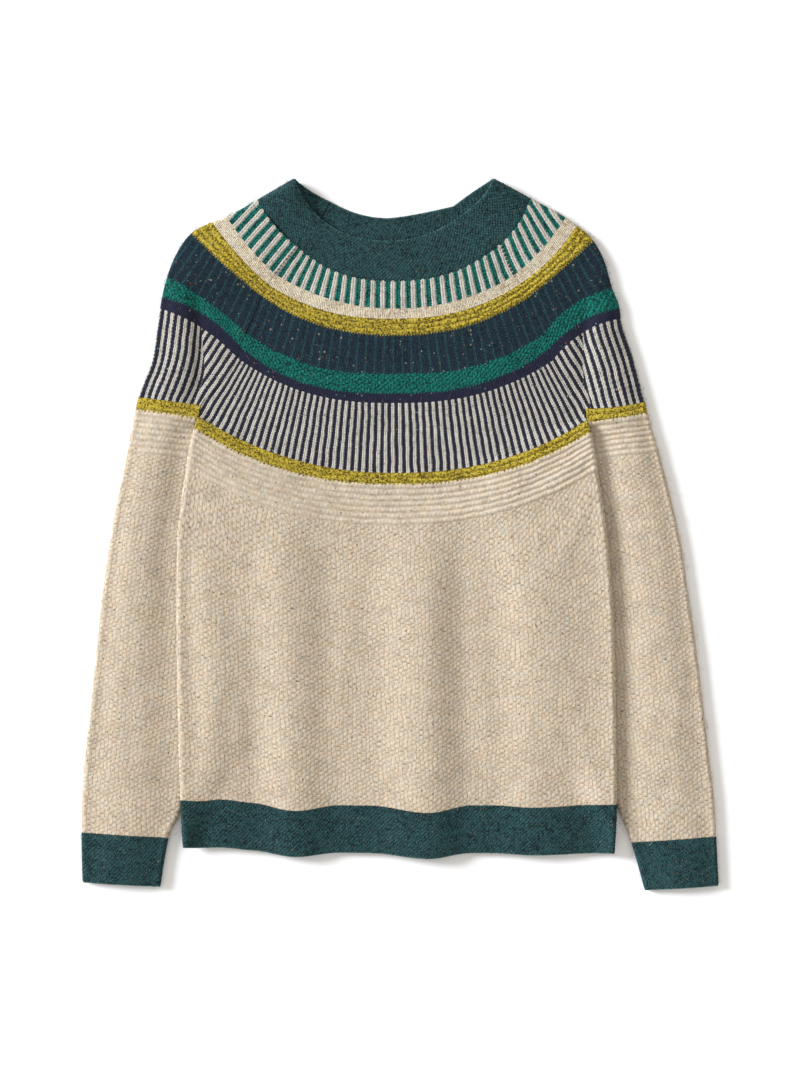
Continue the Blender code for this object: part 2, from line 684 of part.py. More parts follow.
def make_hems():
    """The welts that end the two panels."""
    for name, front, outward, rise in (("front_hem", True, 1, 0.0),
                                       ("back_hem", False, -1, BACK_HEM_RISE)):
        places = np.linspace(BODY[0].mid + rise, WELT_TOP, HEM_ROWS)
        rows = [Row(place, "spruce", 0.0, True) for place in places]
        cloth_wall(name, rows, panel_points(rows, front), outward)


def joined(front_row, back_row):
    """A front row and a back row as one, meeting at the outline."""
    return front_row + back_row[::-1][1:]


def sleeve_head_row(course, back_course, left, front_heights, back_heights):
    """One row round a sleeve head: front seam, outline, back seam."""
    seam, turn, fold = ("seam_l", "turn_l", "fold_l") if left else ("seam_r", "turn_r", "fold_r")
    halves = []
    for which, heights, front, steps in ((course, front_heights, True, UPPER_STEPS),
                                         (back_course, back_heights, False, LOWER_STEPS)):
        line = head_line(getattr(which, seam), getattr(which, turn), getattr(which, fold))
        line = trimmed(line, RAGLAN_TRIM, 0.0)
        halves.append(cloth_row(line, steps, heights, front, 0.0, RIGHT_ANGLE))
    return joined(*halves)


def make_sleeve(name, table, left):
    """One sleeve, from its cuff to the neckband, wrapped round with its seam inside."""
    outward = -1 if left else 1
    underarm_lift = body_lift(*table[0].inner)
    rows = zone_rows(SLEEVE_ZONES)[:-1]
    rows[0] = rows[0]._replace(place=rows[0].place - SEAM)
    points = []
    for row in rows:
        line = table_at(table, row.place)
        turned = smooth(line.down / TIP_END)
        ease = UNDERARM_EASE * hump(line.down - TIP_END / 2, TIP_END / 2, TIP_END)
        curve = trimmed(polyline([line.inner, line.outer]), RAGLAN_TRIM + ease, 0.0)
        heights = sleeve_heights(line, underarm_lift)
        front = cloth_row(curve, UPPER_STEPS, heights, True, END_TURN * turned, RIGHT_ANGLE)
        back = cloth_row(curve, LOWER_STEPS, heights, False, END_TURN * turned, RIGHT_ANGLE)
        points.append(joined(front, back))
    head_rows = seam_gap_rows(zone_rows(SLEEVE_YOKE_ZONES), 0.0, SLEEVE_TOP_TRIM)
    for row in head_rows:
        course = table_at(YOKE, row.place)
        back_course = back_of(course)
        seam_front = course.seam_l if left else course.seam_r
        seam_back = back_course.seam_l if left else back_course.seam_r
        points.append(sleeve_head_row(course, back_course, left,
                                      head_heights(course, body_lift(*seam_front)),
                                      head_heights(back_course, body_lift(*seam_back))))
    cloth_wall(name, rows + head_rows, points, outward)


def make_cuff(name, table, left):
    """The welt at a sleeve's end."""
    rows, points = [], []
    for place in np.linspace(CUFF_FOOT, CUFF_TOP, CUFF_ROWS):
        rows.append(Row(place, "spruce", 0.0, True))
        line = table_at(table, place)
        curve = polyline([line.inner, line.outer])
        heights = sleeve_heights(line, 0.0)
        front = cloth_row(curve, UPPER_STEPS, heights, True, END_TURN, RIGHT_ANGLE)
        back = cloth_row(curve, LOWER_STEPS, heights, False, END_TURN, RIGHT_ANGLE)
        points.append(joined(front, back))
    cloth_wall(name, rows, points, -1 if left else 1)


def between(low, high, share):
    """A table row part of the way from one to the other."""
    numbers = [a + (b - a) * share for a, b in zip(flatten(low), flatten(high))]
    return unflatten(Course, low, numbers)


def make_neckband():
    """Four parts, linked over the raglan seams."""
    shares = np.linspace(0.0, 1.0, NECKBAND_ROWS)
    rows = [Row(share, "spruce", 0.0, True) for share in shares]
    parts = {"front_neckband": [], "back_neckband": [], "left_neckband": [], "right_neckband": []}
    for share in shares:
        front, back = between(*NECK_FRONT, share), between(*NECK_BACK, share)
        middle_x = YOKE_MIDDLE_X + (NECK_MIDDLE_X - YOKE_MIDDLE_X) * share
        for name, course in (("front_neckband", front), ("back_neckband", back)):
            line = bowed_line(middle_x, course.mid, course.bow_l, course.bow_r,
                              course.seam_l, course.seam_r)
            line = trimmed(line, RAGLAN_TRIM, RAGLAN_TRIM)
            reach = np.linalg.norm(np.subtract(course.fold_l, course.seam_l))
            heights = neck_panel_heights(share, reach)
            parts[name].append(cloth_row(line, PANEL_STEPS, heights, course is front))
        for name, left in (("left_neckband", True), ("right_neckband", False)):
            heights = neck_heights(share)
            parts[name].append(sleeve_head_row(front, back, left, heights, heights))
    for name, outward in (("front_neckband", 1), ("back_neckband", -1),
                          ("left_neckband", -1), ("right_neckband", 1)):
        cloth_wall(name, rows, parts[name], outward)


def clear_scene():
    """Start from an empty scene."""
    for thing in list(bpy.data.objects):
        bpy.data.objects.remove(thing, do_unlink=True)


def main():
    clear_scene()
    make_panels()
    make_hems()
    make_sleeve("left_sleeve", SLEEVE_LEFT, True)
    make_sleeve("right_sleeve", SLEEVE_RIGHT, False)
    make_cuff("left_cuff", SLEEVE_LEFT, True)
    make_cuff("right_cuff", SLEEVE_RIGHT, False)
    make_neckband()


main()
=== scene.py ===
# %% [markdown]
# # A donegal sweater, laid flat
#
# The real garment is knitted in panels from flecked wool and linked together. This lesson
# dresses a plain solid model of it. Each solid is replaced by a thin wall of cloth with the
# relief of its own stitches, and the yarn's colour, flecks and fluff come from node trees.

# %% Load the plain model
from collections import namedtuple
import math

import bmesh
import bpy
import numpy as np
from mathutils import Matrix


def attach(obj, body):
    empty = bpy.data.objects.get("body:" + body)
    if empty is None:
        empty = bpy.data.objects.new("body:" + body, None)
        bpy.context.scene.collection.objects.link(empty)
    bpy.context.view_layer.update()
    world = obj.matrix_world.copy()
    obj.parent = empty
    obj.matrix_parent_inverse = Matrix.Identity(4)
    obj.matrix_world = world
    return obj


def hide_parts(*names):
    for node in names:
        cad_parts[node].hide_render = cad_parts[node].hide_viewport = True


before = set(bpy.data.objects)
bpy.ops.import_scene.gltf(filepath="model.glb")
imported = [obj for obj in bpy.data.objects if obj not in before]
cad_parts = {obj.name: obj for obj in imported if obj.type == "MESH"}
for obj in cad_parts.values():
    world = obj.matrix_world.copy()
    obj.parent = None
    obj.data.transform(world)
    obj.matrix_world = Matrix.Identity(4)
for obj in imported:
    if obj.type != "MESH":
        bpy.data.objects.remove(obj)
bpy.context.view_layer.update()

print("solids:", ", ".join(sorted(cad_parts)))

# %% [markdown]
# ## Camera
#
# The garment is seen from straight above. One pixel of the picture is one millimetre at
# the height of the cloth, and a long lens keeps the outline free of perspective.

# %% Camera
MM = 0.001
PICTURE_HEIGHT = 1.067       # metres of surface that the picture takes in, top to bottom
PICTURE_MIDDLE_Y = 0.0005    # so that y = 0 falls between two rows of pixels
LENS, SENSOR = 85.0, 36.0
CLOTH_HEIGHT = 0.010         # where a pixel is exactly a millimetre


def add_object(name, data):
    """A new object in the scene, at the origin."""
    made = bpy.data.objects.new(name, data)
    bpy.context.scene.collection.objects.link(made)
    return made


camera_data = bpy.data.cameras.new("camera")
camera_data.lens = LENS
camera_data.sensor_width = SENSOR
camera = add_object("camera", camera_data)
camera.location = (0.0, PICTURE_MIDDLE_Y, PICTURE_HEIGHT * LENS / SENSOR + CLOTH_HEIGHT)
bpy.context.scene.camera = camera
print("camera height", round(camera.location.z, 3))

# %% [markdown]
# ## The sizes of the knitting
#
# A knitter thinks in stitches across and courses up. Those two sizes drive the relief, the
# colours and the grid of the meshes alike, so that every bump has its own vertices.

# %% Sizes, in millimetres
WALL = 3.0               # thickness of the cloth
BODY_STITCHES = 104      # across the front
BODY_STITCH = 4.22       # width of one
MOSS_COURSE = 2.38       # height of a course of the moss stitch
STRIPE_STITCH = 3.55     # width of a stitch in the two-colour stripes
WELT_STITCH = 3.9        # the welts are knitted in a finer bumpy stitch
WELT_COURSE = 3.2
EDGE = 0.8               # rounding of a free edge
SEAM_EDGE = 0.4          # rounding of a linked one
SEAM_LEVEL = 0.8         # how near the outer face a linked edge lies: 0 in mid-wall, 1 on the face
SEAM = 0.05              # space between two linked pieces
LAYER_GAP = 0.6          # air between two layers
SIDE_GAP, SIDE_FADE = 1.6, 16.0             # air at a turned side, and how far in it narrows
SLEEVE_GAP, SLEEVE_FADE = 4.6, 30.0         # air in a full sleeve, and how far from a seam it settles
OPEN_HEAD = 0.5                             # share of that air where a sleeve head isn't tucked in
FULL_FROM, FULL_TO = 0.45, 0.6              # shares of its width between which a sleeve is full
TURNED_SHARE, TURNED_EASE = 0.22, 0.4       # width of a sleeve's turned edge, and its softness
NECK_GAP, NECK_FADE = 12.0, 24.0            # air at the neck's two corners, and its reach
BRIDGE_FADE = 70.0                          # how far in from its sides the front is fully held up
RIDGE = 0.7                                 # height of a garter ridge
BACK_SHARE = 0.45                           # share of each fold that the back layer takes
LIFT_MARGIN, LIFT_FADE = 10.0, 32.0         # how far past a sleeve the body stays up, and comes down
LIFT_EASE = 0.4                             # spare height over a sleeve
FRONT_FADE, FRONT_FADE_HEAD = 110.0, 150.0  # the front comes down more slowly, up to this y
FRONT_EASE = 1.5                            # softness of the bend where it is held up
BACK_NECK_RISE, BACK_HEM_RISE = 22.0, 1.5   # how much further up the back's two ends lie
FOLD_START, FOLD_FULL = 42.0, -70.0         # y where the body's folds begin, and are full
SLEEVE_LIFT = 2 * WALL + LAYER_GAP + RIDGE + LIFT_EASE
RIGHT_ANGLE = math.pi / 2
END_TURN = RIGHT_ANGLE - 0.16               # a turned side stops just short of upright
print("a moss stitch:", BODY_STITCH, "x", MOSS_COURSE, "mm")

# %% [markdown]
# ## Course lines
#
# A course is one row of knitting. On the laid garment each course is a curve: level in the
# middle of a panel, bending up towards the raglan seams, and falling over the sleeve heads.
# Each table row names one such curve. All other courses are read between the rows.

# %% Course lines of the yoke
# mid: y in the middle of the front. bow_l, bow_r: how sharply the course bends up at its ends.
# seam, turn, fold: plan points at the raglan seam, on the sleeve head and at its outer fold.
# valley: share of the sleeve head that is tucked in beside the body. tuck: how far it is.
Course = namedtuple("Course", "mid bow_l bow_r seam_l turn_l fold_l seam_r turn_r fold_r valley tuck")
YOKE = [
    Course(61, 2.1, 2.35, (-201.8, 116.5), (-235, 121.5), (-264.6, 126),
           (187, 113), (217, 115), (248, 122), 0, 1),
    Course(69, 2.15, 2.3, (-199.2, 128.5), (-235, 133.5), (-262, 137),
           (185.5, 125), (215, 127), (245.4, 132.4), 0.06, 1),
    Course(96, 2.3, 2.3, (-181.5, 146.5), (-198, 162), (-247.5, 178),
           (169.5, 143), (180.5, 153), (234, 175), 0.25, 1),
    Course(131, 2.5, 2.5, (-163, 176.5), (-199.5, 207), (-240.5, 226),
           (152.5, 173.5), (181.5, 200.5), (221.5, 216), 0.51, 1),
    Course(141.5, 2.8, 2.6, (-160, 188.5), (-200, 222.5), (-238.4, 238.5),
           (149, 186), (182, 213.5), (220, 227), 0.56, 0.9),
    Course(161, 2.6, 2.6, (-154, 201.5), (-201, 239.5), (-233, 259),
           (143.5, 200.5), (183, 236), (212.5, 247), 0.6, 0.6),
    Course(180.5, 2.45, 2.45, (-145.5, 220), (-187, 253), (-223.5, 282),
           (135.5, 218.5), (172, 249), (205, 273), 0.6, 0.2),
    Course(200, 2.34, 2.34, (-138, 239), (-171, 266), (-208, 302.5),
           (128, 238), (160, 264.5), (193, 295), 0.6, 0),
    Course(215.5, 2.4, 2.4, (-132, 250), (-160, 277), (-188, 312.5),
           (121, 251), (150, 275), (177, 309), 0.6, 0),
    Course(225.5, 2.05, 2.2, (-125, 260), (-150, 285.5), (-174, 318),
           (114.5, 259), (141, 284), (166, 317), 0.6, 0),
    Course(254, 2.6, 2.5, (-102.5, 288.5), (-124, 308), (-142.5, 335.5),
           (100.5, 291), (119, 312), (130, 337), 0.6, 0),
]
NECK_FRONT = [
    YOKE[-1],
    Course(293, 2.5, 2.1, (-84, 319), (-96, 333.5), (-106.5, 355.6),
           (78, 332), (87.5, 342.5), (94.3, 355.6), 0.6, 0),
]
NECK_BACK = [
    Course(276, 2.3, 2.3, (-88, 298), (-116, 315), (-142.5, 335.5),
           (80, 298), (107, 315), (130, 337), 0.6, 0),
    Course(316, 2.1, 1.3, (-70, 332.5), (-88, 342), (-106.5, 355.6),
           (54, 328), (76, 344), (94.3, 355.6), 0.6, 0),
]
YOKE_MIDDLE_X, NECK_MIDDLE_X = -7.0, -11.0
WELT_TOP, UNDERARM, NECK_FOOT = -272.0, 61.0, 254.0
print("yoke course lines:", len(YOKE))

# %% Course lines of the body, and its soft folds
# side_l, side_r: plan points at the sides. wave: how far the course follows the hem's waves.
BodyLine = namedtuple("BodyLine", "mid bow_l bow_r side_l side_r wave")
BODY = [
    BodyLine(-318.7, 2, 2, (-217.5, -312.6), (215, -318.8), 0.75),
    BodyLine(-272, 2, 2, (-219.7, -266), (217, -270.5), 1),
    BodyLine(-191, 2, 2, (-222, -181), (216, -184), 0.35),
    BodyLine(-106, 2, 2, (-223.5, -90), (214, -92), 0),
    BodyLine(-38, 2.2, 2.2, (-223, -11), (208.5, -12), 0),
    BodyLine(9, 2.3, 2.3, (-213.5, 67), (197.5, 64), 0),
    BodyLine(50.7, 2.3, 2.4, (-205.4, 107), (190.5, 103), 0),
    BodyLine(61, 2.1, 2.35, YOKE[0].seam_l, YOKE[0].seam_r, 0),
]
# left, right: reach to each side. dip: how far the hem hangs down at the fold.
Fold = namedtuple("Fold", "x_chest x_hem left right height dip")
FOLDS = [
    Fold(-196, -178, 24, 34, 2.5, -2.5),
    Fold(-113, -106, 42, 46, 6, 6),
    Fold(24, 29, 60, 42, 7.5, 6.6),
    Fold(130, 135, 44, 66, 4.5, 2.2),
]
CHEST_Y, HEM_Y = -6.0, -272.0
# y, and how high the sleeves hold the front up there
BRIDGE = [(-319.5, 0), (-230, 2.4), (-120, 5), (20, 5), (110, 2.6), (254, 0)]
print("body course lines:", len(BODY), "folds:", len(FOLDS))

# %% Course lines of the sleeves
# down: place along the sleeve. outer, inner: its two folds. hidden: share under the body.
SleeveLine = namedtuple("SleeveLine", "down outer inner hidden")
SLEEVE_LEFT = [SleeveLine(*row) for row in (
    (0, YOKE[0].fold_l, YOKE[0].seam_l, 0),
    (8, (-266.3, 118), (-204, 108.5), 0),
    (22, (-269, 105), (-178, 94), 0.33),
    (55, (-275, 73), (-142, 58), 0.54),
    (100, (-284, 31), (-138, 18), 0.55),
    (140, (-291, -8), (-150, -19), 0.52),
    (190, (-298, -58), (-164, -68), 0.45),
    (250, (-304.5, -118), (-183, -127), 0.33),
    (305, (-310, -172), (-198, -179), 0.21),
    (365, (-316.5, -232), (-211, -238), 0.09),
    (400, (-319, -266), (-217, -272), 0.03),
    (430, (-319.4, -299), (-231.5, -304.3), 0),
    (478, (-318.3, -348), (-240, -352.5), 0),
)]
SLEEVE_RIGHT = [SleeveLine(*row) for row in (
    (0, YOKE[0].fold_r, YOKE[0].seam_r, 0),
    (8, (250.5, 113), (189.5, 105.5), 0),
    (22, (253.5, 102), (165, 91), 0.33),
    (55, (262, 73), (130, 60), 0.5),
    (100, (273, 30), (126, 19), 0.52),
    (140, (282, -12), (138, -22), 0.49),
    (190, (289, -60), (152, -68), 0.44),
    (250, (297.5, -118), (173, -124), 0.33),
    (305, (304, -172), (189.5, -177), 0.23),
    (365, (311, -232), (205, -236), 0.1),
    (400, (315, -267), (216.5, -270), 0.01),
    (430, (317, -303), (231.6, -309), 0),
    (478, (319.5, -351.5), (245, -356), 0),
)]
CUFF_TOP, CUFF_FOOT = 430.0, 478.0
TIP_END = 8.0                            # place where the inner side has left the underarm
SHOWN_START, SHOWN_FADE = 395.0, 30.0    # from here on the inner fold shows, and is full
HIDDEN_MARGIN = 0.035                    # share past the body's edge that still lies flat
LIFT_GUARD = [(-0.5, -16.0), (11.0, -22.0), (22.0, -32.0)]   # up and out from the underarm
FAR_UP, FAR_DOWN, FAR_OUT = 400.0, -600.0, 200.0             # well past the garment
print("sleeve course lines:", len(SLEEVE_LEFT), len(SLEEVE_RIGHT))

# %% [markdown]
# ## Small creases
#
# Besides the soft folds that the solids have, laid knitwear shows short shallow creases:
# pulls that fan out from the underarm, and slack across a sleeve. A cloth simulation could
# make such creases too, but not each at a chosen place. So they are placed one by one, each a
# soft ridge or trough with its own middle, direction, length, width and height.

# %% Creases, in millimetres and degrees
Crease = namedtuple("Crease", "x y turn length width height")
BODY_CREASES = [Crease(*row) for row in (
    (-176, 66, -42, 74, 15, 1.1),
    (-158, 88, -20, 62, 11, -0.7),
    (-184, 20, -66, 90, 17, 0.8),
    (166, 62, 40, 78, 15, 1.2),
    (150, 88, 22, 60, 12, -0.6),
    (176, 8, 64, 96, 18, 0.9),
    (-60, -150, 84, 150, 22, 0.9),
    (88, -196, 97, 120, 20, 0.8),
    (-160, -205, 95, 110, 18, 0.7),
    (10, 34, 4, 150, 24, -0.6),
    (-46, 150, 12, 130, 26, 0.6),
    (70, 176, -16, 110, 24, 0.6),
)]
SLEEVE_CREASES = [Crease(*row) for row in (
    (-252, 76, -18, 60, 14, 0.5),
    (-262, 20, -30, 76, 17, 0.4),
    (-272, -70, -62, 120, 18, 0.5),
    (-284, -170, -80, 130, 17, 0.4),
    (-270, -270, -76, 84, 15, 0.5),
    (238, 74, 20, 58, 14, 0.5),
    (252, 8, 34, 84, 17, 0.5),
    (262, -88, 66, 124, 18, 0.5),
    (276, -186, 78, 120, 17, 0.4),
    (268, -276, 74, 80, 15, 0.5),
    (-205, 262, 42, 60, 14, 0.6),
    (190, 258, -44, 60, 14, 0.6),
    (-201, 168, 90, 95, 14, -1.8),
    (184, 165, 90, 95, 14, -1.8),
)]


def creased(x, y, creases):
    """Height that the creases add at plan points."""
    total = np.zeros(np.shape(x))
    for crease in creases:
        turn = math.radians(crease.turn)
        along = (x - crease.x) * math.cos(turn) + (y - crease.y) * math.sin(turn)
        across = -(x - crease.x) * math.sin(turn) + (y - crease.y) * math.cos(turn)
        inside = (2 * along / crease.length) ** 2 + (2 * across / crease.width) ** 2
        total += crease.height * np.exp(-inside)
    return total


print("creases:", len(BODY_CREASES) + len(SLEEVE_CREASES))

# %% [markdown]
# ## Reading the tables
#
# These helpers work on whole rows at once, so that hundreds of thousands of points take
# seconds. curve_at runs a smooth curve through a column, and never swings past its values.

# %% Helpers that read the tables


def smooth(share):
    """0 below 0, 1 above 1, and a soft step between."""
    share = np.clip(share, 0.0, 1.0)
    return share * share * (3.0 - 2.0 * share)


def soft_max(first, second, ease):
    """The larger of two heights, with the corner where they cross rounded off."""
    return (first + second + np.sqrt((first - second) ** 2 + ease ** 2)) / 2


def hump(offset, left, right):
    """A soft ridge, 1 at offset 0, that ends at -left and +right."""
    reach = np.where(np.asarray(offset) > 0, right, left)
    return 0.5 + 0.5 * np.cos(np.pi * np.minimum(1.0, np.abs(offset) / reach))


def slopes(knots, values):
    """Slopes of a curve through the values that never overshoots them."""
    steps = np.diff(knots)
    rises = np.diff(values) / steps
    result = np.zeros(len(knots))
    result[0], result[-1] = rises[0], rises[-1]
    before, after = rises[:-1], rises[1:]
    w1, w2 = 2 * steps[1:] + steps[:-1], steps[1:] + 2 * steps[:-1]
    same = before * after > 0
    safe_before, safe_after = np.where(same, before, 1.0), np.where(same, after, 1.0)
    result[1:-1] = np.where(same, (w1 + w2) / (w1 / safe_before + w2 / safe_after), 0.0)
    return result


def curve_at(knots, values, place):
    """Values at places on a smooth curve through (knots, values)."""
    knots = np.asarray(knots, float)
    values = np.asarray(values, float)
    place = np.clip(place, knots[0], knots[-1])
    i = np.minimum(len(knots) - 2, np.searchsorted(knots, place, side="right") - 1)
    width = knots[i + 1] - knots[i]
    u = (place - knots[i]) / width
    m = slopes(knots, values)
    return ((1 + 2 * u) * (1 - u) ** 2 * values[i] + u * (1 - u) ** 2 * width * m[i]
            + u * u * (3 - 2 * u) * values[i + 1] + u * u * (u - 1) * width * m[i + 1])


def flatten(row):
    """A table row as one list of numbers."""
    numbers = []
    for entry in row:
        numbers.extend(entry if isinstance(entry, tuple) else (entry,))
    return numbers


def unflatten(pattern, numbers):
    """The opposite of flatten, after the pattern of another row."""
    values, at = [], 0
    for entry in pattern:
        size = 2 if isinstance(entry, tuple) else 1
        values.append(tuple(numbers[at:at + 2]) if size == 2 else numbers[at])
        at += size
    return type(pattern)(*values)


def table_at(table, place):
    """A whole table row, read at a place of its first column."""
    knots = [row[0] for row in table]
    columns = np.array([flatten(row) for row in table])
    return unflatten(table[0], [float(curve_at(knots, column, place)) for column in columns.T])


def back_of(course):
    """The same course line on the back, where the neck lies higher."""
    share = float(smooth((course.mid - UNDERARM) / (NECK_FOOT - UNDERARM)))

    def moved(name):
        front_end, back_end = getattr(NECK_FRONT[0], name), getattr(NECK_BACK[0], name)
        return tuple(h + share * (b - f) for h, b, f in zip(getattr(course, name), back_end, front_end))

    ends = {name: moved(name) for name in ("seam_l", "seam_r", "turn_l", "turn_r")}
    return course._replace(mid=course.mid + BACK_NECK_RISE * share, **ends)


print("a course halfway up the navy band:", table_at(YOKE, 175.0).seam_l)

# %% Plan curves
PANEL_POINTS, HEAD_POINTS = 121, 49      # points of a curve across a panel, and over a sleeve head


def polyline(points):
    """A plan curve with its running length."""
    points = np.asarray(points, float)
    lengths = np.concatenate([[0.0], np.cumsum(np.hypot(*np.diff(points, axis=0).T))])
    return points, lengths


def walk(line, distance):
    """Plan points at distances along a plan curve."""
    points, lengths = line
    return np.interp(distance, lengths, points[:, 0]), np.interp(distance, lengths, points[:, 1])


def trimmed(line, start, finish):
    """A plan curve with a little cut off its two ends."""
    points, lengths = line
    inside = points[(lengths > start) & (lengths < lengths[-1] - finish)]
    ends = [np.array(walk(line, d)) for d in (start, lengths[-1] - finish)]
    return polyline([ends[0], *inside, ends[1]])


def hem_dip(x):
    """How far the hem's waves pull a body line down at x."""
    return sum(fold.dip * hump(x - fold.x_hem, fold.left, fold.right) for fold in FOLDS)


def bowed_line(mid_x, course, left, right, wave=0.0):
    """A course across a panel: level in the middle, bending up to both ends."""
    share = np.linspace(-1.0, 1.0, PANEL_POINTS)
    end_x, end_y = (np.where(share < 0, l, r) for l, r in zip(left, right))
    bow = np.where(share < 0, course.bow_l, course.bow_r)
    x = mid_x + (end_x - mid_x) * np.abs(share)
    y = course.mid + (end_y - course.mid) * np.abs(share) ** bow - wave * hem_dip(x)
    return polyline(np.column_stack([x, y]))


def head_line(seam, turn, fold):
    """A course across a sleeve head, through three named points."""
    seam, turn, fold = (np.array(p) for p in (seam, turn, fold))
    first = np.linalg.norm(turn - seam)
    m = first / (first + np.linalg.norm(fold - turn))
    u = np.linspace(0.0, 1.0, HEAD_POINTS)[:, None]
    return polyline(seam * (u - m) * (u - 1) / m + turn * u * (u - 1) / (m * (m - 1))
                    + fold * u * (u - m) / (1 - m))


underarm_course = bowed_line(YOKE_MIDDLE_X, YOKE[0], YOKE[0].seam_l, YOKE[0].seam_r)
print("length of the underarm course:", round(underarm_course[1][-1], 1))

# %% [markdown]
# ## How high each layer lies
#
# A laid sweater is two layers of cloth, and four where the body lies over the sleeves. Each
# rule below gives the middle of the back layer and of the front layer over a plan point.

# %% Heights of the layers


def inner_fold_curve(table, side):
    """x of a sleeve's hidden inner fold against y, with the body's margin around it."""
    underarm = table[0].inner
    rows = [(FAR_DOWN, table[-1].inner[0])]
    rows += [(line.inner[1], line.inner[0] - side * LIFT_MARGIN) for line in reversed(table[1:])]
    rows += [(underarm[1] + up, underarm[0] - side * out) for up, out in LIFT_GUARD]
    rows += [(FAR_UP, underarm[0] + side * FAR_OUT)]
    return [row[0] for row in rows], [row[1] for row in rows]


UNDER_BODY = {-1: inner_fold_curve(SLEEVE_LEFT, -1), 1: inner_fold_curve(SLEEVE_RIGHT, 1)}


def body_lift(x, y, fade=LIFT_FADE):
    """How far the body is held up by the sleeves that lie under its sides."""
    lift = np.zeros(np.shape(x))
    for side, (ys, xs) in UNDER_BODY.items():
        beyond = side * (curve_at(ys, xs, y) - x)
        lift = np.maximum(lift, SLEEVE_LIFT * smooth(1.0 - beyond / fade))
    return lift


def front_fade(y):
    """How far the front takes to come down from the sleeves, longest at mid-body."""
    share = smooth((y - WELT_TOP) / FRONT_FADE) * smooth((FRONT_FADE_HEAD - y) / FRONT_FADE)
    return LIFT_FADE + (FRONT_FADE - LIFT_FADE) * share


def body_fold(x, y):
    """Height of the soft folds that run down the body."""
    total = np.zeros(np.shape(x))
    for fold in FOLDS:
        centre = np.interp(y, [HEM_Y, CHEST_Y], [fold.x_hem, fold.x_chest])
        total = np.maximum(total, fold.height * hump(x - centre, fold.left, fold.right))
    return smooth((FOLD_START - y) / (FOLD_START - FOLD_FULL)) * total


def front_rise(x, y, lift, near):
    """How far the front lies above its rest on the back, between the sleeves that hold it up."""
    held = curve_at([row[0] for row in BRIDGE], [row[1] for row in BRIDGE], y)
    level = soft_max(body_lift(x, y, front_fade(y)), held, FRONT_EASE)
    return (level - lift) * smooth(near / BRIDGE_FADE)


def panel_heights(sided):
    """Back and front layer of the body. sided is 1 at a turned side, 0 at a raglan seam."""
    def heights(x, y, start, finish):
        fold, lift = body_fold(x, y), body_lift(x, y)
        near = np.minimum(start, finish)
        back = WALL / 2 + lift + BACK_SHARE * fold
        gap = LAYER_GAP + (1 - BACK_SHARE) * fold + front_rise(x, y, lift, near)
        gap = gap + sided * (SIDE_GAP - LAYER_GAP) * (1.0 - smooth(near / SIDE_FADE))
        return back, back + WALL + gap
    return heights


def fullness(past):
    """How full a sleeve is, 0 to 1, at a share of its shown width from the body's edge."""
    return smooth(past / FULL_FROM) * smooth((1.0 - past) / (1.0 - FULL_TO))


def turned_gap(share):
    """The gap near a sleeve's turned edge."""
    return LAYER_GAP + (SIDE_GAP - LAYER_GAP) * (1.0 - smooth(share / TURNED_SHARE))


def head_heights(course, seam_lift):
    """The same on a sleeve head. start is measured from the raglan seam."""
    def heights(x, y, start, finish):
        share = start / (start + finish)
        back = WALL / 2 + seam_lift * (1.0 - smooth(start / SLEEVE_FADE))
        past = np.clip((share - course.valley) / (1.0 - course.valley), 0.0, 1.0)
        puff = course.tuck * fullness(past)
        puff = puff + OPEN_HEAD * (1.0 - course.tuck) * np.sin(math.pi * share)
        gap = LAYER_GAP + (SLEEVE_GAP - LAYER_GAP) * puff
        return back, back + WALL + soft_max(gap, turned_gap(1.0 - share), TURNED_EASE)
    return heights


def sleeve_heights(line, seam_lift):
    """The same below the underarm. start is measured from the hidden inner fold."""
    settle = 1.0 - smooth(line.down / TIP_END)
    shown = smooth((line.down - SHOWN_START) / SHOWN_FADE)
    shown_from = line.hidden + HIDDEN_MARGIN * smooth(line.hidden / HIDDEN_MARGIN)

    def heights(x, y, start, finish):
        share = start / (start + finish)
        back = WALL / 2 + settle * seam_lift * (1.0 - smooth(start / SLEEVE_FADE))
        past = np.clip((share - shown_from) / (1.0 - shown_from), 0.0, 1.0)
        gap = LAYER_GAP + (SLEEVE_GAP - LAYER_GAP) * fullness(past)
        gap = soft_max(gap, turned_gap(1.0 - share), TURNED_EASE)
        gap = np.maximum(gap, LAYER_GAP + shown * (turned_gap(share) - LAYER_GAP))
        return back, back + WALL + gap
    return heights


def neck_heights(rise, reach=None):
    """The same on the neckband, which stands up more towards its two corners.

    On its front and back part, reach is how far the two ends lie from the corners.
    """
    def heights(x, y, start, finish):
        near = finish if reach is None else np.minimum(start, finish) + reach
        corner = np.exp(-(near / NECK_FADE) ** 2)
        gap = LAYER_GAP + (SIDE_GAP - LAYER_GAP) * corner + rise * (NECK_GAP - SIDE_GAP) * corner
        back = np.full(np.shape(x), WALL / 2)
        return back, back + WALL + gap
    return heights


print("the body rises over the left sleeve by", round(float(body_lift(-190.0, 0.0)), 1), "mm")

# %% [markdown]
# ## Laying one row
#
# A row of cloth follows its plan curve. At a side it turns down through a quarter circle to
# meet the other layer. The row also gives the direction of the cloth at each point, because
# the wall's two faces are set off square to it.

# %% Lay one row of cloth
ClothRow = namedtuple("ClothRow", "points along run total")
NEAR_END = 2.0           # where the turn at a side is measured
RUN_STEP = 0.1           # half the stretch over which the cloth's direction is measured


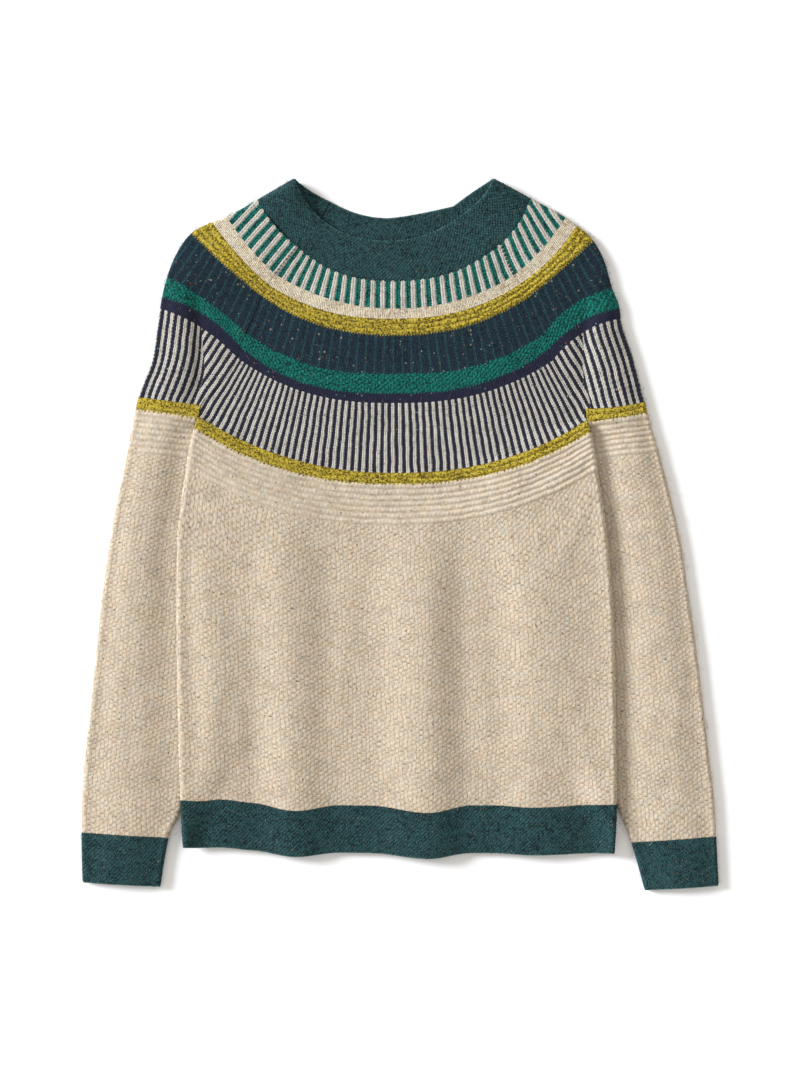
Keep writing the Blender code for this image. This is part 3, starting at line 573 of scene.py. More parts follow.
def lay_row(line, runs, heights, front, turn_start=0.0, turn_finish=0.0, creases=()):
    """Mid-wall points of one row. runs(total) gives the places along the cloth."""
    full = line[1][-1]

    def layers(distance):
        x, y = walk(line, distance)
        back, top = heights(x, y, distance, full - distance)
        return x, y, back, top

    def radius(distance):
        x, y, back, top = layers(distance)
        return float(top - back) / 2

    r_start, r_finish = radius(NEAR_END), radius(full - NEAR_END)
    off_start = (r_start + WALL / 2) * math.sin(turn_start)
    off_finish = (r_finish + WALL / 2) * math.sin(turn_finish)
    arc_start, arc_finish = r_start * turn_start, r_finish * turn_finish
    total = arc_start + full - off_start - off_finish + arc_finish

    def position(run):
        first, last = run < arc_start, run > total - arc_finish
        r = np.where(first, r_start, np.where(last, r_finish, 0.0))
        angle = np.where(first, turn_start - run / r_start,
                         np.where(last, turn_finish - (total - run) / r_finish, 0.0))
        level = off_start + run - arc_start
        distance = np.where(first, off_start - r * np.sin(angle),
                            np.where(last, full - off_finish + r * np.sin(angle), level))
        x, y, back, top = layers(distance)
        drop = r * (1.0 - np.cos(angle))
        ends = smooth(np.minimum(distance, full - distance) / SIDE_FADE)
        z = (top - drop + creased(x, y, creases) * ends) if front else back + drop
        return np.column_stack([x, y, z])

    run = runs(total)
    along = position(np.minimum(run + RUN_STEP, total)) - position(np.maximum(run - RUN_STEP, 0.0))
    return ClothRow(position(run), along, run, total)


print("row helper ready")

# %% [markdown]
# ## Zones of the knitting
#
# Each band of colour is a zone of courses with its own stitch. Moss and welt stitch make
# staggered bumps, garter stitch makes ridges, and the stripes are stocking stitch. The
# relief of each is a short formula in stitches across and courses up, raised in the mesh.

# %% Zones
# stitch_low and stitch_high: width of a stitch at the zone's foot and head, in millimetres.
# None: the stitches share the panel's width between them.
Zone = namedtuple("Zone", "name start end courses rows stitch_low stitch_high")
RIDGES_DOWN = 45.0       # how far down a sleeve its ridges begin


def moss_zone(start, end, stitch):
    """Moss stitch, with two rows of points to a course."""
    courses = round(abs(end - start) / MOSS_COURSE)
    return Zone("moss", start, end, courses, 2 * courses, stitch, stitch)


FRONT_ZONES = [
    moss_zone(WELT_TOP, 9.0, None),
    Zone("ridges", 9.0, 50.7, 14, 42, None, None),
    Zone("mustard", 50.7, 61.0, 4, 10, 3.75, 3.75),
    Zone("stripes", 61.0, 131.0, 25, 38, 3.75, 3.35),
    Zone("aubergine", 131.0, 141.5, 4, 6, 3.35, 3.30),
    Zone("emerald", 141.5, 161.0, 8, 20, 3.30, 3.20),
    Zone("navy", 161.0, 200.0, 14, 20, 3.15, 2.85),
    Zone("mustard", 200.0, 215.5, 6, 15, 3.30, 3.30),
    Zone("cream_band", 215.5, 225.5, 4, 6, 3.40, 3.40),
    Zone("green_stripes", 225.5, 254.0, 10, 16, 5.20, 4.95),
]
SLEEVE_YOKE_ZONES = [
    Zone("mustard", 61.0, 69.0, 4, 10, 3.55, 3.55),
    Zone("stripes", 69.0, 131.0, 22, 34, 3.55, 3.55),
] + FRONT_ZONES[4:]
SLEEVE_ZONES = [
    moss_zone(CUFF_TOP, RIDGES_DOWN, BODY_STITCH),
    Zone("ridges", RIDGES_DOWN, 0.0, 14, 42, BODY_STITCH, BODY_STITCH),
]
STRIPE_PERIOD = 2        # stitches: one navy, one cream
GREEN_PERIOD = 2         # stitches: one green, one cream
NAVY_PERIOD = 3          # stitches: a teal line on every third
WELT_SLANT = 0.22        # stitches that the welt's bumps lean over in one course
RELIEF = {"moss": 0.10, "emerald": 0.10, "welt": 0.14, "ridges": RIDGE, "mustard": 0.42, "stripes": 0.40,
          "green_stripes": 0.40}         # how far each stands out. The rest are smooth


def relief(name, wales, courses):
    """How far the knitting stands out, in millimetres, at stitches across and courses up."""
    height = RELIEF.get(name, 0.0)
    if name in ("moss", "emerald"):
        return height * np.cos(math.pi * wales) * np.cos(math.pi * courses)
    if name == "welt":
        slanted = wales + WELT_SLANT * courses
        return height * np.cos(2 * math.pi * slanted) * np.cos(2 * math.pi * courses)
    if name in ("ridges", "mustard"):
        crest = 0.5 - 0.5 * np.cos(math.pi * courses)
        beads = 0.5 + 0.5 * np.cos(2 * math.pi * wales)
        return height * crest ** 0.6 * (0.85 + 0.15 * beads)
    if name == "stripes":
        return height * (0.5 + 0.5 * np.cos(2 * math.pi * wales / STRIPE_PERIOD))
    if name == "green_stripes":
        return height * (0.5 + 0.5 * np.cos(2 * math.pi * wales / GREEN_PERIOD)) ** 1.5
    return np.zeros(np.shape(wales + courses))


Span = namedtuple("Span", "zone low high")      # the strip between two rows


def zone_rows(zones, gap_low, gap_high, edge_low, edge_high):
    """Places of the rows, with an extra one near each edge, and the spans between them."""
    places, owners = [], []
    for zone in zones:
        inner = np.linspace(zone.start, zone.end, zone.rows + 1)[:-1]
        places.extend(inner)
        owners.extend([zone] * len(inner))
    places.append(zones[-1].end)
    way = 1.0 if zones[-1].end > zones[0].start else -1.0
    places[0] += way * gap_low
    places[-1] -= way * gap_high
    places.insert(1, places[0] + way * edge_low)
    owners.insert(0, owners[0])
    places.insert(-1, places[-1] - way * edge_high)
    owners.append(owners[-1])
    places.sort(key=lambda place: way * place)
    return places, [Span(*row) for row in zip(owners, places[:-1], places[1:])]


def course_of(zone, place):
    """Courses from the foot of a zone up to a place."""
    return (place - zone.start) / (zone.end - zone.start) * zone.courses


def stitch_at(zone, place):
    """Width of a stitch at a place in its zone."""
    share = (place - zone.start) / (zone.end - zone.start)
    return zone.stitch_low + share * (zone.stitch_high - zone.stitch_low)


print("rows of the front:", sum(zone.rows for zone in FRONT_ZONES))

# %% [markdown]
# ## Uneven stitches
#
# Hand-framed wool never lies quite even: its rows wander, and some loops stand higher than
# others. A soft noise with fixed seeds, read at plan points, bends the stitch counts. The
# relief and the colours both use the bent counts, so they stay on the same stitches.

# %% Soft noise over the plan
NOISE_CELLS = 64
WANDER, JITTER, LOOP = 12.0, 4.5, 2.6    # millimetres over which each noise changes
UNEVEN = {"moss": 0.34, "ridges": 0.16, "mustard": 0.34, "stripes": 0.10, "aubergine": 0.2, "emerald": 0.3,
          "navy": 0.12, "cream_band": 0.2, "green_stripes": 0.05, "welt": 0.10}
LOOP_CHANGE = 0.5                        # share by which one loop's height may differ
SEEDS = (11, 12, 13)


def make_soft_noise(seed):
    """A soft noise over the plan, from a grid of random cells."""
    cells = np.random.default_rng(seed).uniform(-1.0, 1.0, (NOISE_CELLS, NOISE_CELLS))

    def noise(points, scale):
        """A value from -1 to 1 that changes over about one scale."""
        u, v = points[:, 0] / scale, points[:, 1] / scale
        i, j = np.floor(u).astype(int), np.floor(v).astype(int)
        a, b = smooth(u - i), smooth(v - j)
        near, far = i % NOISE_CELLS, (i + 1) % NOISE_CELLS
        low, high = j % NOISE_CELLS, (j + 1) % NOISE_CELLS
        foot = cells[near, low] * (1 - a) + cells[far, low] * a
        head = cells[near, high] * (1 - a) + cells[far, high] * a
        return foot * (1 - b) + head * b
    return noise


NOISE_ACROSS, NOISE_UP, NOISE_HEIGHT = (make_soft_noise(seed) for seed in SEEDS)


def bend(noise, points, name):
    """How many stitches the noise moves a count by."""
    return UNEVEN[name] * (noise(points, WANDER) + 0.7 * noise(points, JITTER))


print("noise seeds:", SEEDS)

# %% [markdown]
# ## A wall of cloth
#
# The visible face gets a fine grid with the stitches' relief. The hidden face is plain and
# coarse. Between them runs one ring of points. On a free edge it lies in mid-wall and rounds
# the edge. On a linked edge it lies just under the face, so the seam is only a faint line.
# Each corner of a face carries its stitch and course number in the UV map "knit".

# %% What is kept of each piece
Sheet = namedtuple("Sheet", "width length area")         # as it was knitted, in metres
Laid = namedtuple("Laid", "points outer spans free")     # its grid in mid-wall and on the face
pieces, SHEETS, LAID = {}, {}, {}                        # by the node that a piece stands for
TRIANGLES = {}
CREAM_FLUFF, BAND_FLUFF, WELT_FLUFF = 1, 2, 3            # the yarn that a shown face gets its fluff from
FLUFF_OF = {"moss": CREAM_FLUFF, "ridges": CREAM_FLUFF, "cream_band": CREAM_FLUFF, "welt": WELT_FLUFF}
FREE_ROW = {"foot": 0, "head": -1}       # the row of points on a free edge


def keep_count(piece):
    """Counts a piece's triangles."""
    piece.data.calc_loop_triangles()
    TRIANGLES[piece.name] = len(piece.data.loop_triangles)
    print(piece.name, TRIANGLES[piece.name], "triangles")


def flat_size(points, rows):
    """The size that a piece was knitted to, measured along its mid-wall points."""
    steps = np.linalg.norm(np.diff(points, axis=0), axis=2)
    totals = np.array([row.total for row in rows])
    width = float(totals.max())
    length = float(steps[:, points.shape[1] // 2].sum())
    area = float(((totals[:-1] + totals[1:]) / 2 * steps.mean(axis=1)).sum())
    return Sheet(width * MM, max(length, area / width) * MM, area * MM * MM)


print("stitches with their own fluff:", ", ".join(FLUFF_OF))

# %% Count the stitches on the shown face
Counts = namedtuple("Counts", "first second chosen")     # chosen: where the second count holds
BentCounts = namedtuple("BentCounts", "first second chosen up")


def one_count(wales):
    """Counts where there is only one way to count."""
    return Counts(wales, wales, np.zeros(len(wales), bool))


def bent_counts(zone, place, row, count):
    """Stitches across by both counts, where the second holds, and courses up, all uneven."""
    counts = count(zone, place, row)
    shift = bend(NOISE_ACROSS, row.points, zone.name)
    up = course_of(zone, place) + bend(NOISE_UP, row.points, zone.name)
    return BentCounts(counts.first + shift, counts.second + shift, counts.chosen, up)


def read_stitches(spans, rows, count):
    """Counts at the corners of each shown face, and how far each point is raised."""
    across, up, raised = [], [], np.zeros((len(rows), len(rows[0].points)))
    near, far = slice(None, -1), slice(1, None)
    for i, (zone, low_place, high_place) in enumerate(spans):
        low = bent_counts(zone, low_place, rows[i], count)
        high = bent_counts(zone, high_place, rows[i + 1], count)
        for r, counts in ((i + 1, high), (i, low)):
            loops = 1.0 + LOOP_CHANGE * NOISE_HEIGHT(rows[r].points, LOOP)
            wales = np.where(counts.chosen, counts.second, counts.first)
            raised[r] = relief(zone.name, wales, counts.up) * loops
        corners = ((low, near), (low, far), (high, far), (high, near))
        by_second = low.chosen[near]
        across.append(np.stack([np.where(by_second, end.second[cut], end.first[cut])
                                for end, cut in corners], axis=-1))
        up.append(np.stack([end.up[cut] for end, cut in corners], axis=-1))
    return np.concatenate(across).reshape(-1), np.concatenate(up).reshape(-1), raised


print("relief of the moss stitch:", RELIEF["moss"], "mm")

# %% Set the two faces off from mid-wall
RELIEF_NONE, RELIEF_FULL = -0.2, 0.3     # how far up the cloth faces where it has no, and all, relief
TINY = 1e-12


def wall_points(rows, raised, outward, free):
    """Points in mid-wall, on the shown face and on the hidden one."""
    points = np.array([row.points for row in rows])
    along = np.array([row.along for row in rows])
    normals = np.cross(along, np.gradient(points, axis=0))
    normals *= outward / np.maximum(np.linalg.norm(normals, axis=2, keepdims=True), TINY)
    reach = np.ones(raised.shape)                # 1 on the wall's face, 0 in mid-wall
    reach[0] = reach[-1] = SEAM_LEVEL
    reach[:, 0] = reach[:, -1] = SEAM_LEVEL
    if free:
        reach[FREE_ROW[free]] = 0.0
    facing = np.clip((normals[:, :, 2] - RELIEF_NONE) / (RELIEF_FULL - RELIEF_NONE), 0.0, 1.0)
    outer = points + normals * (reach * (WALL / 2 + raised * facing))[:, :, None]
    return points, outer, points - normals * WALL / 2


print("thickness of the wall:", WALL, "mm")

# %% The coarse hidden face


def coarse_places(count, step):
    """Every step-th place of a fine row, with both rounded ends kept."""
    inner = list(range(1, count - 1, step))
    if inner[-1] != count - 2:
        inner.append(count - 2)
    return [0] + inner + [count - 1]


def ring_path(r0, c0, r1, c1, last_row, last_col):
    """Grid places from one corner to the next, all of them where the side lies on the ring."""
    if r0 == r1 and r0 in (0, last_row):
        way = 1 if c1 > c0 else -1
        return [(r0, c) for c in range(c0, c1, way)]
    if c0 == c1 and c0 in (0, last_col):
        way = 1 if r1 > r0 else -1
        return [(r, c0) for r in range(r0, r1, way)]
    return [(r0, c0)]


def hidden_face(inner, spans, rows, count, step):
    """Its own points, its faces, the counts at their corners and the stitch of each."""
    count_r, count_c = inner.shape[:2]
    keep_r, keep_c = coarse_places(count_r, step[0]), coarse_places(count_c, step[1])
    own = [(r, c) for r in keep_r[1:-1] for c in keep_c[1:-1]]
    place_of = {spot: count_r * count_c + number for number, spot in enumerate(own)}
    faces, counts, stitches = [], [], []
    for r0, r1 in zip(keep_r, keep_r[1:]):
        zone = spans[r0].zone
        across_at, up_at = {}, {}
        for r in range(r0, r1 + 1):
            place = spans[r].low if r < r1 else spans[r1 - 1].high
            across_at[r] = count(zone, place, rows[r]).first
            up_at[r] = course_of(zone, place)
        for c0, c1 in zip(keep_c, keep_c[1:]):
            ways = ((r0, c0, r1, c0), (r1, c0, r1, c1), (r1, c1, r0, c1), (r0, c1, r0, c0))
            path = [spot for way in ways for spot in ring_path(*way, count_r - 1, count_c - 1)]
            faces.append([place_of.get((r, c), r * count_c + c) for r, c in path])
            counts.extend((across_at[r][c], up_at[r]) for r, c in path)
            stitches.append(zone.name)
    return [inner[spot] for spot in own], faces, counts, stitches


print("every fourth of 20 places:", coarse_places(20, 4))

# %% Build a cloth wall
MERGE_DISTANCE = 0.02    # points past a seam are this near to it, in millimetres


def close_shell(mesh, merge):
    """Merges the points that were held at a seam, and turns all faces outwards."""
    shell = bmesh.new()
    shell.from_mesh(mesh)
    if merge:
        bmesh.ops.remove_doubles(shell, verts=shell.verts, dist=MERGE_DISTANCE * MM)
    bmesh.ops.recalc_face_normals(shell, faces=shell.faces)
    shell.to_mesh(mesh)
    shell.free()
    mesh.shade_smooth()


def cloth_wall(node, spans, rows, count, outward, hidden_step, merge=False, free=None):
    """One closed wall. count(zone, place, row) gives the Counts, free names its free edge."""
    across, up, raised = read_stitches(spans, rows, count)
    points, outer, inner = wall_points(rows, raised, outward, free)
    hidden, hidden_faces, hidden_counts, hidden_stitches = hidden_face(inner, spans, rows, count, hidden_step)
    count_r, count_c = raised.shape
    at = np.arange(count_r * count_c).reshape(count_r, count_c)
    quads = np.stack([at[:-1, :-1], at[:-1, 1:], at[1:, 1:], at[1:, :-1]], axis=-1).reshape(-1, 4)

    mesh = bpy.data.meshes.new(node + "_knit")
    vertices = np.concatenate([outer.reshape(-1, 3), np.array(hidden)]) * MM
    mesh.from_pydata(vertices.tolist(), [], quads.tolist() + hidden_faces)
    used = [stitch for stitch in FINISH if any(span.zone.name == stitch for span in spans)]
    for stitch in used:
        mesh.materials.append(FINISH[stitch])
    index = np.repeat([used.index(span.zone.name) for span in spans], count_c - 1)
    index = np.concatenate([index, [used.index(stitch) for stitch in hidden_stitches]])
    mesh.polygons.foreach_set("material_index", index.astype(np.int32))
    kinds = np.repeat([FLUFF_OF.get(span.zone.name, BAND_FLUFF) for span in spans], count_c - 1)
    kinds = np.concatenate([kinds, np.zeros(len(hidden_faces))])
    mesh.attributes.new("fluff", "INT", "FACE").data.foreach_set("value", kinds.astype(np.int32))
    knit = np.concatenate([np.column_stack([across, up]), np.array(hidden_counts, float)])
    mesh.uv_layers.new(name="knit").data.foreach_set("uv", knit.reshape(-1))
    close_shell(mesh, merge)

    pieces[node] = add_object(mesh.name, mesh)
    SHEETS[node] = flat_size(points, rows)
    LAID[node] = Laid(points, outer, spans, free)
    keep_count(pieces[node])


print("wall builder ready")

# %% [markdown]
# ## Writing shaders as arithmetic
#
# The knit patterns are formulas, so this small class lets them be written as such: adding or
# multiplying two wires adds a Math node and links it.

# %% Wires


def feed(tree, socket, value):
    """Links a Wire to an input, or sets the input to a number or a colour."""
    if isinstance(value, Wire):
        tree.links.new(value.socket, socket)
    else:
        socket.default_value = (*value, 1.0) if isinstance(value, tuple) else value


class Wire:
    """A number that runs through a node tree. Arithmetic on it adds Math nodes."""

    def __init__(self, tree, socket):
        self.tree = tree
        self.socket = socket

    def to(self, socket):
        """Leads the number on to an input."""
        self.tree.links.new(self.socket, socket)

    def math(self, operation, *others):
        node = self.tree.nodes.new("ShaderNodeMath")
        node.operation = operation
        for socket, value in zip(node.inputs, (self, *others)):
            feed(self.tree, socket, value)
        return Wire(self.tree, node.outputs[0])

    def __add__(self, other):
        return self.math("ADD", other)

    def __sub__(self, other):
        return self.math("SUBTRACT", other)

    def __mul__(self, other):
        return self.math("MULTIPLY", other)

    def __pow__(self, other):
        return self.math("POWER", other)

    def inverse(self):
        """1 minus the number."""
        return self.math("MULTIPLY_ADD", -1.0, 1.0)

    def step_up(self, low, high):
        """0 below low, 1 above high, and a soft step between."""
        node = self.tree.nodes.new("ShaderNodeMapRange")
        node.interpolation_type = "SMOOTHSTEP"
        self.to(node.inputs["Value"])
        node.inputs["From Min"].default_value = low
        node.inputs["From Max"].default_value = high
        return Wire(self.tree, node.outputs["Result"])


def mixed(tree, share, first, second, way="MIX"):
    """Two colours joined, each a Wire or a fixed colour. share is how much the second counts."""
    node = tree.nodes.new("ShaderNodeMix")
    node.data_type = "RGBA"
    node.blend_type = way
    share.to(node.inputs["Factor"])
    for name, value in (("A", first), ("B", second)):
        feed(tree, next(s for s in node.inputs if s.name == name and s.type == "RGBA"), value)
    return Wire(tree, next(s for s in node.outputs if s.type == "RGBA"))


def new_group(name, inputs, outputs):
    """An empty shader node group. inputs are (name, kind, default) rows, outputs (name, kind)."""
    tree = bpy.data.node_groups.new(name, "ShaderNodeTree")
    for title, kind, default in inputs:
        socket = tree.interface.new_socket(name=title, in_out="INPUT", socket_type=kind)
        socket.default_value = default
    for title, kind in outputs:
        tree.interface.new_socket(name=title, in_out="OUTPUT", socket_type=kind)
    entry, leave = tree.nodes.new("NodeGroupInput"), tree.nodes.new("NodeGroupOutput")
    wires = {title: Wire(tree, entry.outputs[title]) for title, _, _ in inputs}
    return tree, wires, leave


def placed(tree, group, **values):
    """Places a group in a material's tree. Underscores in the names stand for spaces."""
    node = tree.nodes.new("ShaderNodeGroup")
    node.node_tree = group
    for name, value in values.items():
        feed(tree, node.inputs[name.replace("_", " ")], value)
    return {output.name: Wire(tree, output) for output in node.outputs}


NUMBER, COLOUR = "NodeSocketFloat", "NodeSocketColor"
print("shader helpers ready")

# %% [markdown]
# ## Stitch patterns as node groups
#
# Every stitch group takes stitches across and courses up. It gives a height for the bump and
# a painted shade for the gaps between the loops, where shade falls. A little noise bends the
# rows here too.

# %% Helpers for the stitch groups
STITCH_INPUTS = [("Wales", NUMBER, 0.0), ("Courses", NUMBER, 0.0)]
STITCH_OUTPUTS = [("Height", NUMBER), ("Hollow", NUMBER)]
BEND_SCALE = 0.7         # bends to a stitch


def stitch_point(tree, wales, courses, seed=0.0):
    """Stitches across and courses up as one point."""
    join = tree.nodes.new("ShaderNodeCombineXYZ")
    wales.to(join.inputs["X"])
    courses.to(join.inputs["Y"])
    join.inputs["Z"].default_value = seed
    return join.outputs[0]


def uneven(tree, wales, courses, amount, seed):
    """Stitch coordinates, bent a little by noise."""
    noise = tree.nodes.new("ShaderNodeTexNoise")
    noise.inputs["Scale"].default_value = BEND_SCALE
    noise.inputs["Detail"].default_value = 2.0
    tree.links.new(stitch_point(tree, wales, courses, seed), noise.inputs["Vector"])
    split = tree.nodes.new("ShaderNodeSeparateColor")
    tree.links.new(noise.outputs["Color"], split.inputs[0])
    shift_u = (Wire(tree, split.outputs[0]) - 0.5) * amount
    shift_v = (Wire(tree, split.outputs[1]) - 0.5) * amount
    return wales + shift_u, courses + shift_v


def per_stitch(tree, wales, courses):
    """A number from 0 to 1 that differs from stitch to stitch."""
    spot = stitch_point(tree, (wales + 0.5).math("FLOOR"), (courses + 0.5).math("FLOOR"))
    each = tree.nodes.new("ShaderNodeTexWhiteNoise")
    tree.links.new(spot, each.inputs["Vector"])
    return Wire(tree, each.outputs["Value"])


print("inputs of every stitch group:", [row[0] for row in STITCH_INPUTS])

# %% Staggered bumps: moss stitch and the welts


def make_bump_group():
    """Bumps that alternate from course to course. Lines is how dark the painted shade in the thin gaps beside
    them is.
    """
    tree, wires, leave = new_group(
        "Staggered bumps", STITCH_INPUTS + [("Uneven", NUMBER, 0.6), ("Lines", NUMBER, 1.15)], STITCH_OUTPUTS)
    u, v = uneven(tree, wires["Wales"], wires["Courses"], wires["Uneven"], 3.0)
    each = per_stitch(tree, u, v)
    wave = (u * math.pi).math("COSINE") * (v * math.pi).math("COSINE")
    gap = (u * math.pi).math("SINE").math("ABSOLUTE") ** 9.0
    (wave * 0.5 + 0.5 - gap * 0.3).to(leave.inputs["Height"])
    # painted shade: the gaps between the bumps, and thin lines between the wales, are darkened
    hollow = (wave * -1.0).step_up(0.15, 1.0) * (each * 0.8 + 0.2)
    between = gap * (each.inverse() * wires["Lines"])
    hollow.math("MAXIMUM", between).math("MINIMUM", 1.0).to(leave.inputs["Hollow"])
    return tree


STAGGERED_BUMPS = make_bump_group()
print("nodes of the bumps:", len(STAGGERED_BUMPS.nodes))

# %% Garter ridges


def make_ridge_group():
    """A ridge to every two courses, beaded by its loops."""
    tree, wires, leave = new_group(
        "Garter ridges", STITCH_INPUTS + [("Uneven", NUMBER, 0.4)], STITCH_OUTPUTS)
    u, v = uneven(tree, wires["Wales"], wires["Courses"], wires["Uneven"], 7.0)
    crest = (v * math.pi).math("COSINE") * -0.5 + 0.5
    stagger = (wires["Courses"] * 0.5).math("FLOOR") * 0.5
    beads = ((u + stagger) * (2 * math.pi)).math("COSINE") * 0.5 + 0.5
    flat = crest ** 0.6
    (flat * (beads * 0.3 + 0.7)).to(leave.inputs["Height"])
    # painted shade: the grooves between the ridges and the gaps between the beads are darkened
    groove = flat.inverse() ** 2.0
    gaps = beads.inverse() ** 3.0 * (flat.inverse() * 0.7 + 0.3)
    (groove * 0.8 + gaps * 0.4).math("MINIMUM", 1.0).to(leave.inputs["Hollow"])
    return tree


GARTER_RIDGES = make_ridge_group()
print("nodes of the ridges:", len(GARTER_RIDGES.nodes))

# %% Stocking stitch: two slanting legs to each stitch


def make_stocking_group():
    tree, wires, leave = new_group(
        "Stocking stitch", STITCH_INPUTS + [("Uneven", NUMBER, 0.25)], STITCH_OUTPUTS)
    u, v = uneven(tree, wires["Wales"], wires["Courses"], wires["Uneven"], 11.0)
    side = (u.math("FRACT") - 0.5).math("ABSOLUTE") * 2.0
    leg = (u * (2 * math.pi)).math("SINE").math("ABSOLUTE")
    strand = ((v + side * 0.8) * math.pi).math("SINE").math("ABSOLUTE")
    (leg ** 0.6 * (strand * 0.4 + 0.6)).to(leave.inputs["Height"])
    # painted shade: the split between a stitch's two legs and the gap between courses are darkened
    split = leg.inverse() ** 2.5
    between = strand.inverse() ** 2.0
    (split * 0.8 + between * 0.5).math("MINIMUM", 1.0).to(leave.inputs["Hollow"])
    return tree


STOCKING_STITCH = make_stocking_group()
print("stitch groups:", STAGGERED_BUMPS.name, GARTER_RIDGES.name, STOCKING_STITCH.name)

# %% [markdown]
# ## Donegal yarn
#
# Donegal yarn is spun with neps, small knots of other colours. Its ground is heathered too:
# each stitch is a little lighter or darker, and finer fibres cross it. The group takes a
# ground colour and three fleck colours, and gives the yarn's colour and its fibre height.

# %% Donegal yarn group
# Scales are in features to a metre: 1 over the size of one fibre, blotch, patch or fleck cell.
FIBRE_SCALE, BLOTCH_SCALE, BROAD_SCALE = 1400.0, 560.0, 55.0
FLECK_KINDS = [("Fleck A", 205.0, 0.5), ("Fleck B", 235.0, 0.45), ("Fleck C", 185.0, 0.4)]
FLECK_SIZE = 0.14        # radius, as a share of a fleck's cell
FLECK_STRENGTH = 0.7     # how far a fleck hides the ground
DRIFT_SCALE = 150.0      # the ground drifts between a cooler and a warmer cast
COOL_CAST, WARM_CAST = (0.97, 1.00, 1.03), (1.02, 0.99, 0.95)


def scattered(tree, place, scale, seed):
    """A Voronoi texture at Object coordinates: distance to the nearest spot, and its number."""
    shift = tree.nodes.new("ShaderNodeVectorMath")
    shift.operation = "ADD"
    tree.links.new(place, shift.inputs[0])
    shift.inputs[1].default_value = (seed, seed * 0.7, seed * 0.3)
    cells = tree.nodes.new("ShaderNodeTexVoronoi")
    cells.inputs["Scale"].default_value = scale
    tree.links.new(shift.outputs[0], cells.inputs["Vector"])
    number = tree.nodes.new("ShaderNodeSeparateColor")
    tree.links.new(cells.outputs["Color"], number.inputs[0])
    return Wire(tree, cells.outputs["Distance"]), Wire(tree, number.outputs[0])


def noise_at(tree, place, scale, detail):
    """A soft noise between about 0.3 and 0.7."""
    noise = tree.nodes.new("ShaderNodeTexNoise")
    noise.inputs["Scale"].default_value = scale
    noise.inputs["Detail"].default_value = detail
    tree.links.new(place, noise.inputs["Vector"])
    return Wire(tree, noise.outputs[0])


def make_yarn_group():
    tree, wires, leave = new_group(
        "Donegal yarn",
        [("Ground", COLOUR, (0.5, 0.5, 0.5, 1.0)), ("Shade", COLOUR, (0.3, 0.3, 0.3, 1.0)),
         ("Fleck A", COLOUR, (0.3, 0.1, 0.03, 1.0)), ("Fleck B", COLOUR, (0.3, 0.5, 0.5, 1.0)),
         ("Fleck C", COLOUR, (0.6, 0.5, 0.4, 1.0)), ("Flecks", NUMBER, 0.5), ("Heather", NUMBER, 0.2),
         ("Mottle", NUMBER, 0.2), ("Drift", NUMBER, 0.5)] + STITCH_INPUTS,
        [("Colour", COLOUR), ("Fibre", NUMBER)])
    where = tree.nodes.new("ShaderNodeTexCoord").outputs["Object"]
    stitch = per_stitch(tree, wires["Wales"], wires["Courses"])
    fine = noise_at(tree, where, FIBRE_SCALE, 2.0)
    blotch = noise_at(tree, where, BLOTCH_SCALE, 1.0)
    broad = noise_at(tree, where, BROAD_SCALE, 3.0)
    shade = (stitch - 0.5) * 0.6 + (fine - 0.5) * 1.4 + (broad - 0.5) * 1.0
    mottle = (blotch - 0.5) * 4.0 * wires["Mottle"]
    darker = (shade * wires["Heather"] + mottle + 0.3).math("MAXIMUM", 0.0).math("MINIMUM", 1.0)
    colour = mixed(tree, darker, wires["Ground"], wires["Shade"])
    drift = noise_at(tree, where, DRIFT_SCALE, 2.0).step_up(0.36, 0.64)
    cast = mixed(tree, drift, COOL_CAST, WARM_CAST)
    colour = mixed(tree, wires["Drift"], colour, cast, "MULTIPLY")
    for seed, (title, scale, rarity) in enumerate(FLECK_KINDS):
        distance, number = scattered(tree, where, scale, seed + 1.0)
        here = distance.step_up(FLECK_SIZE, FLECK_SIZE * 1.6).inverse()
        chosen = number.math("LESS_THAN", wires["Flecks"] * rarity)
        colour = mixed(tree, here * chosen * FLECK_STRENGTH, colour, wires[title])
    colour.to(leave.inputs["Colour"])
    fine.to(leave.inputs["Fibre"])
    return tree


DONEGAL_YARN = make_yarn_group()
print("yarn group inputs:", len(DONEGAL_YARN.interface.items_tree))

# %% Colour change: the toothed edge where one yarn takes over from another
EDGE_BLEND = 0.12        # courses over which the two yarns mix


def make_change_group():
    tree, wires, leave = new_group(
        "Colour change", STITCH_INPUTS + [("Last course", NUMBER, 4.0), ("Depth", NUMBER, 0.7)],
        [("Above", NUMBER)])
    tooth = (wires["Wales"] * (2 * math.pi)).math("COSINE") * -0.5 + 0.5
    where = tree.nodes.new("ShaderNodeTexCoord").outputs["Object"]
    ragged = (noise_at(tree, where, BLOTCH_SCALE, 2.0) - 0.5) * 1.6
    left = wires["Last course"] - wires["Courses"]
    above = ((tooth + ragged) * wires["Depth"] - left).step_up(-EDGE_BLEND, EDGE_BLEND)
    above.to(leave.inputs["Above"])
    return tree


COLOUR_CHANGE = make_change_group()
print("nodes of the colour change:", len(COLOUR_CHANGE.nodes))

# %% [markdown]
# ## Yarn colours
#
# Each yarn has a ground, the shade that its darker fibres and stitches fall to, and the
# colours of its neps, all linear.

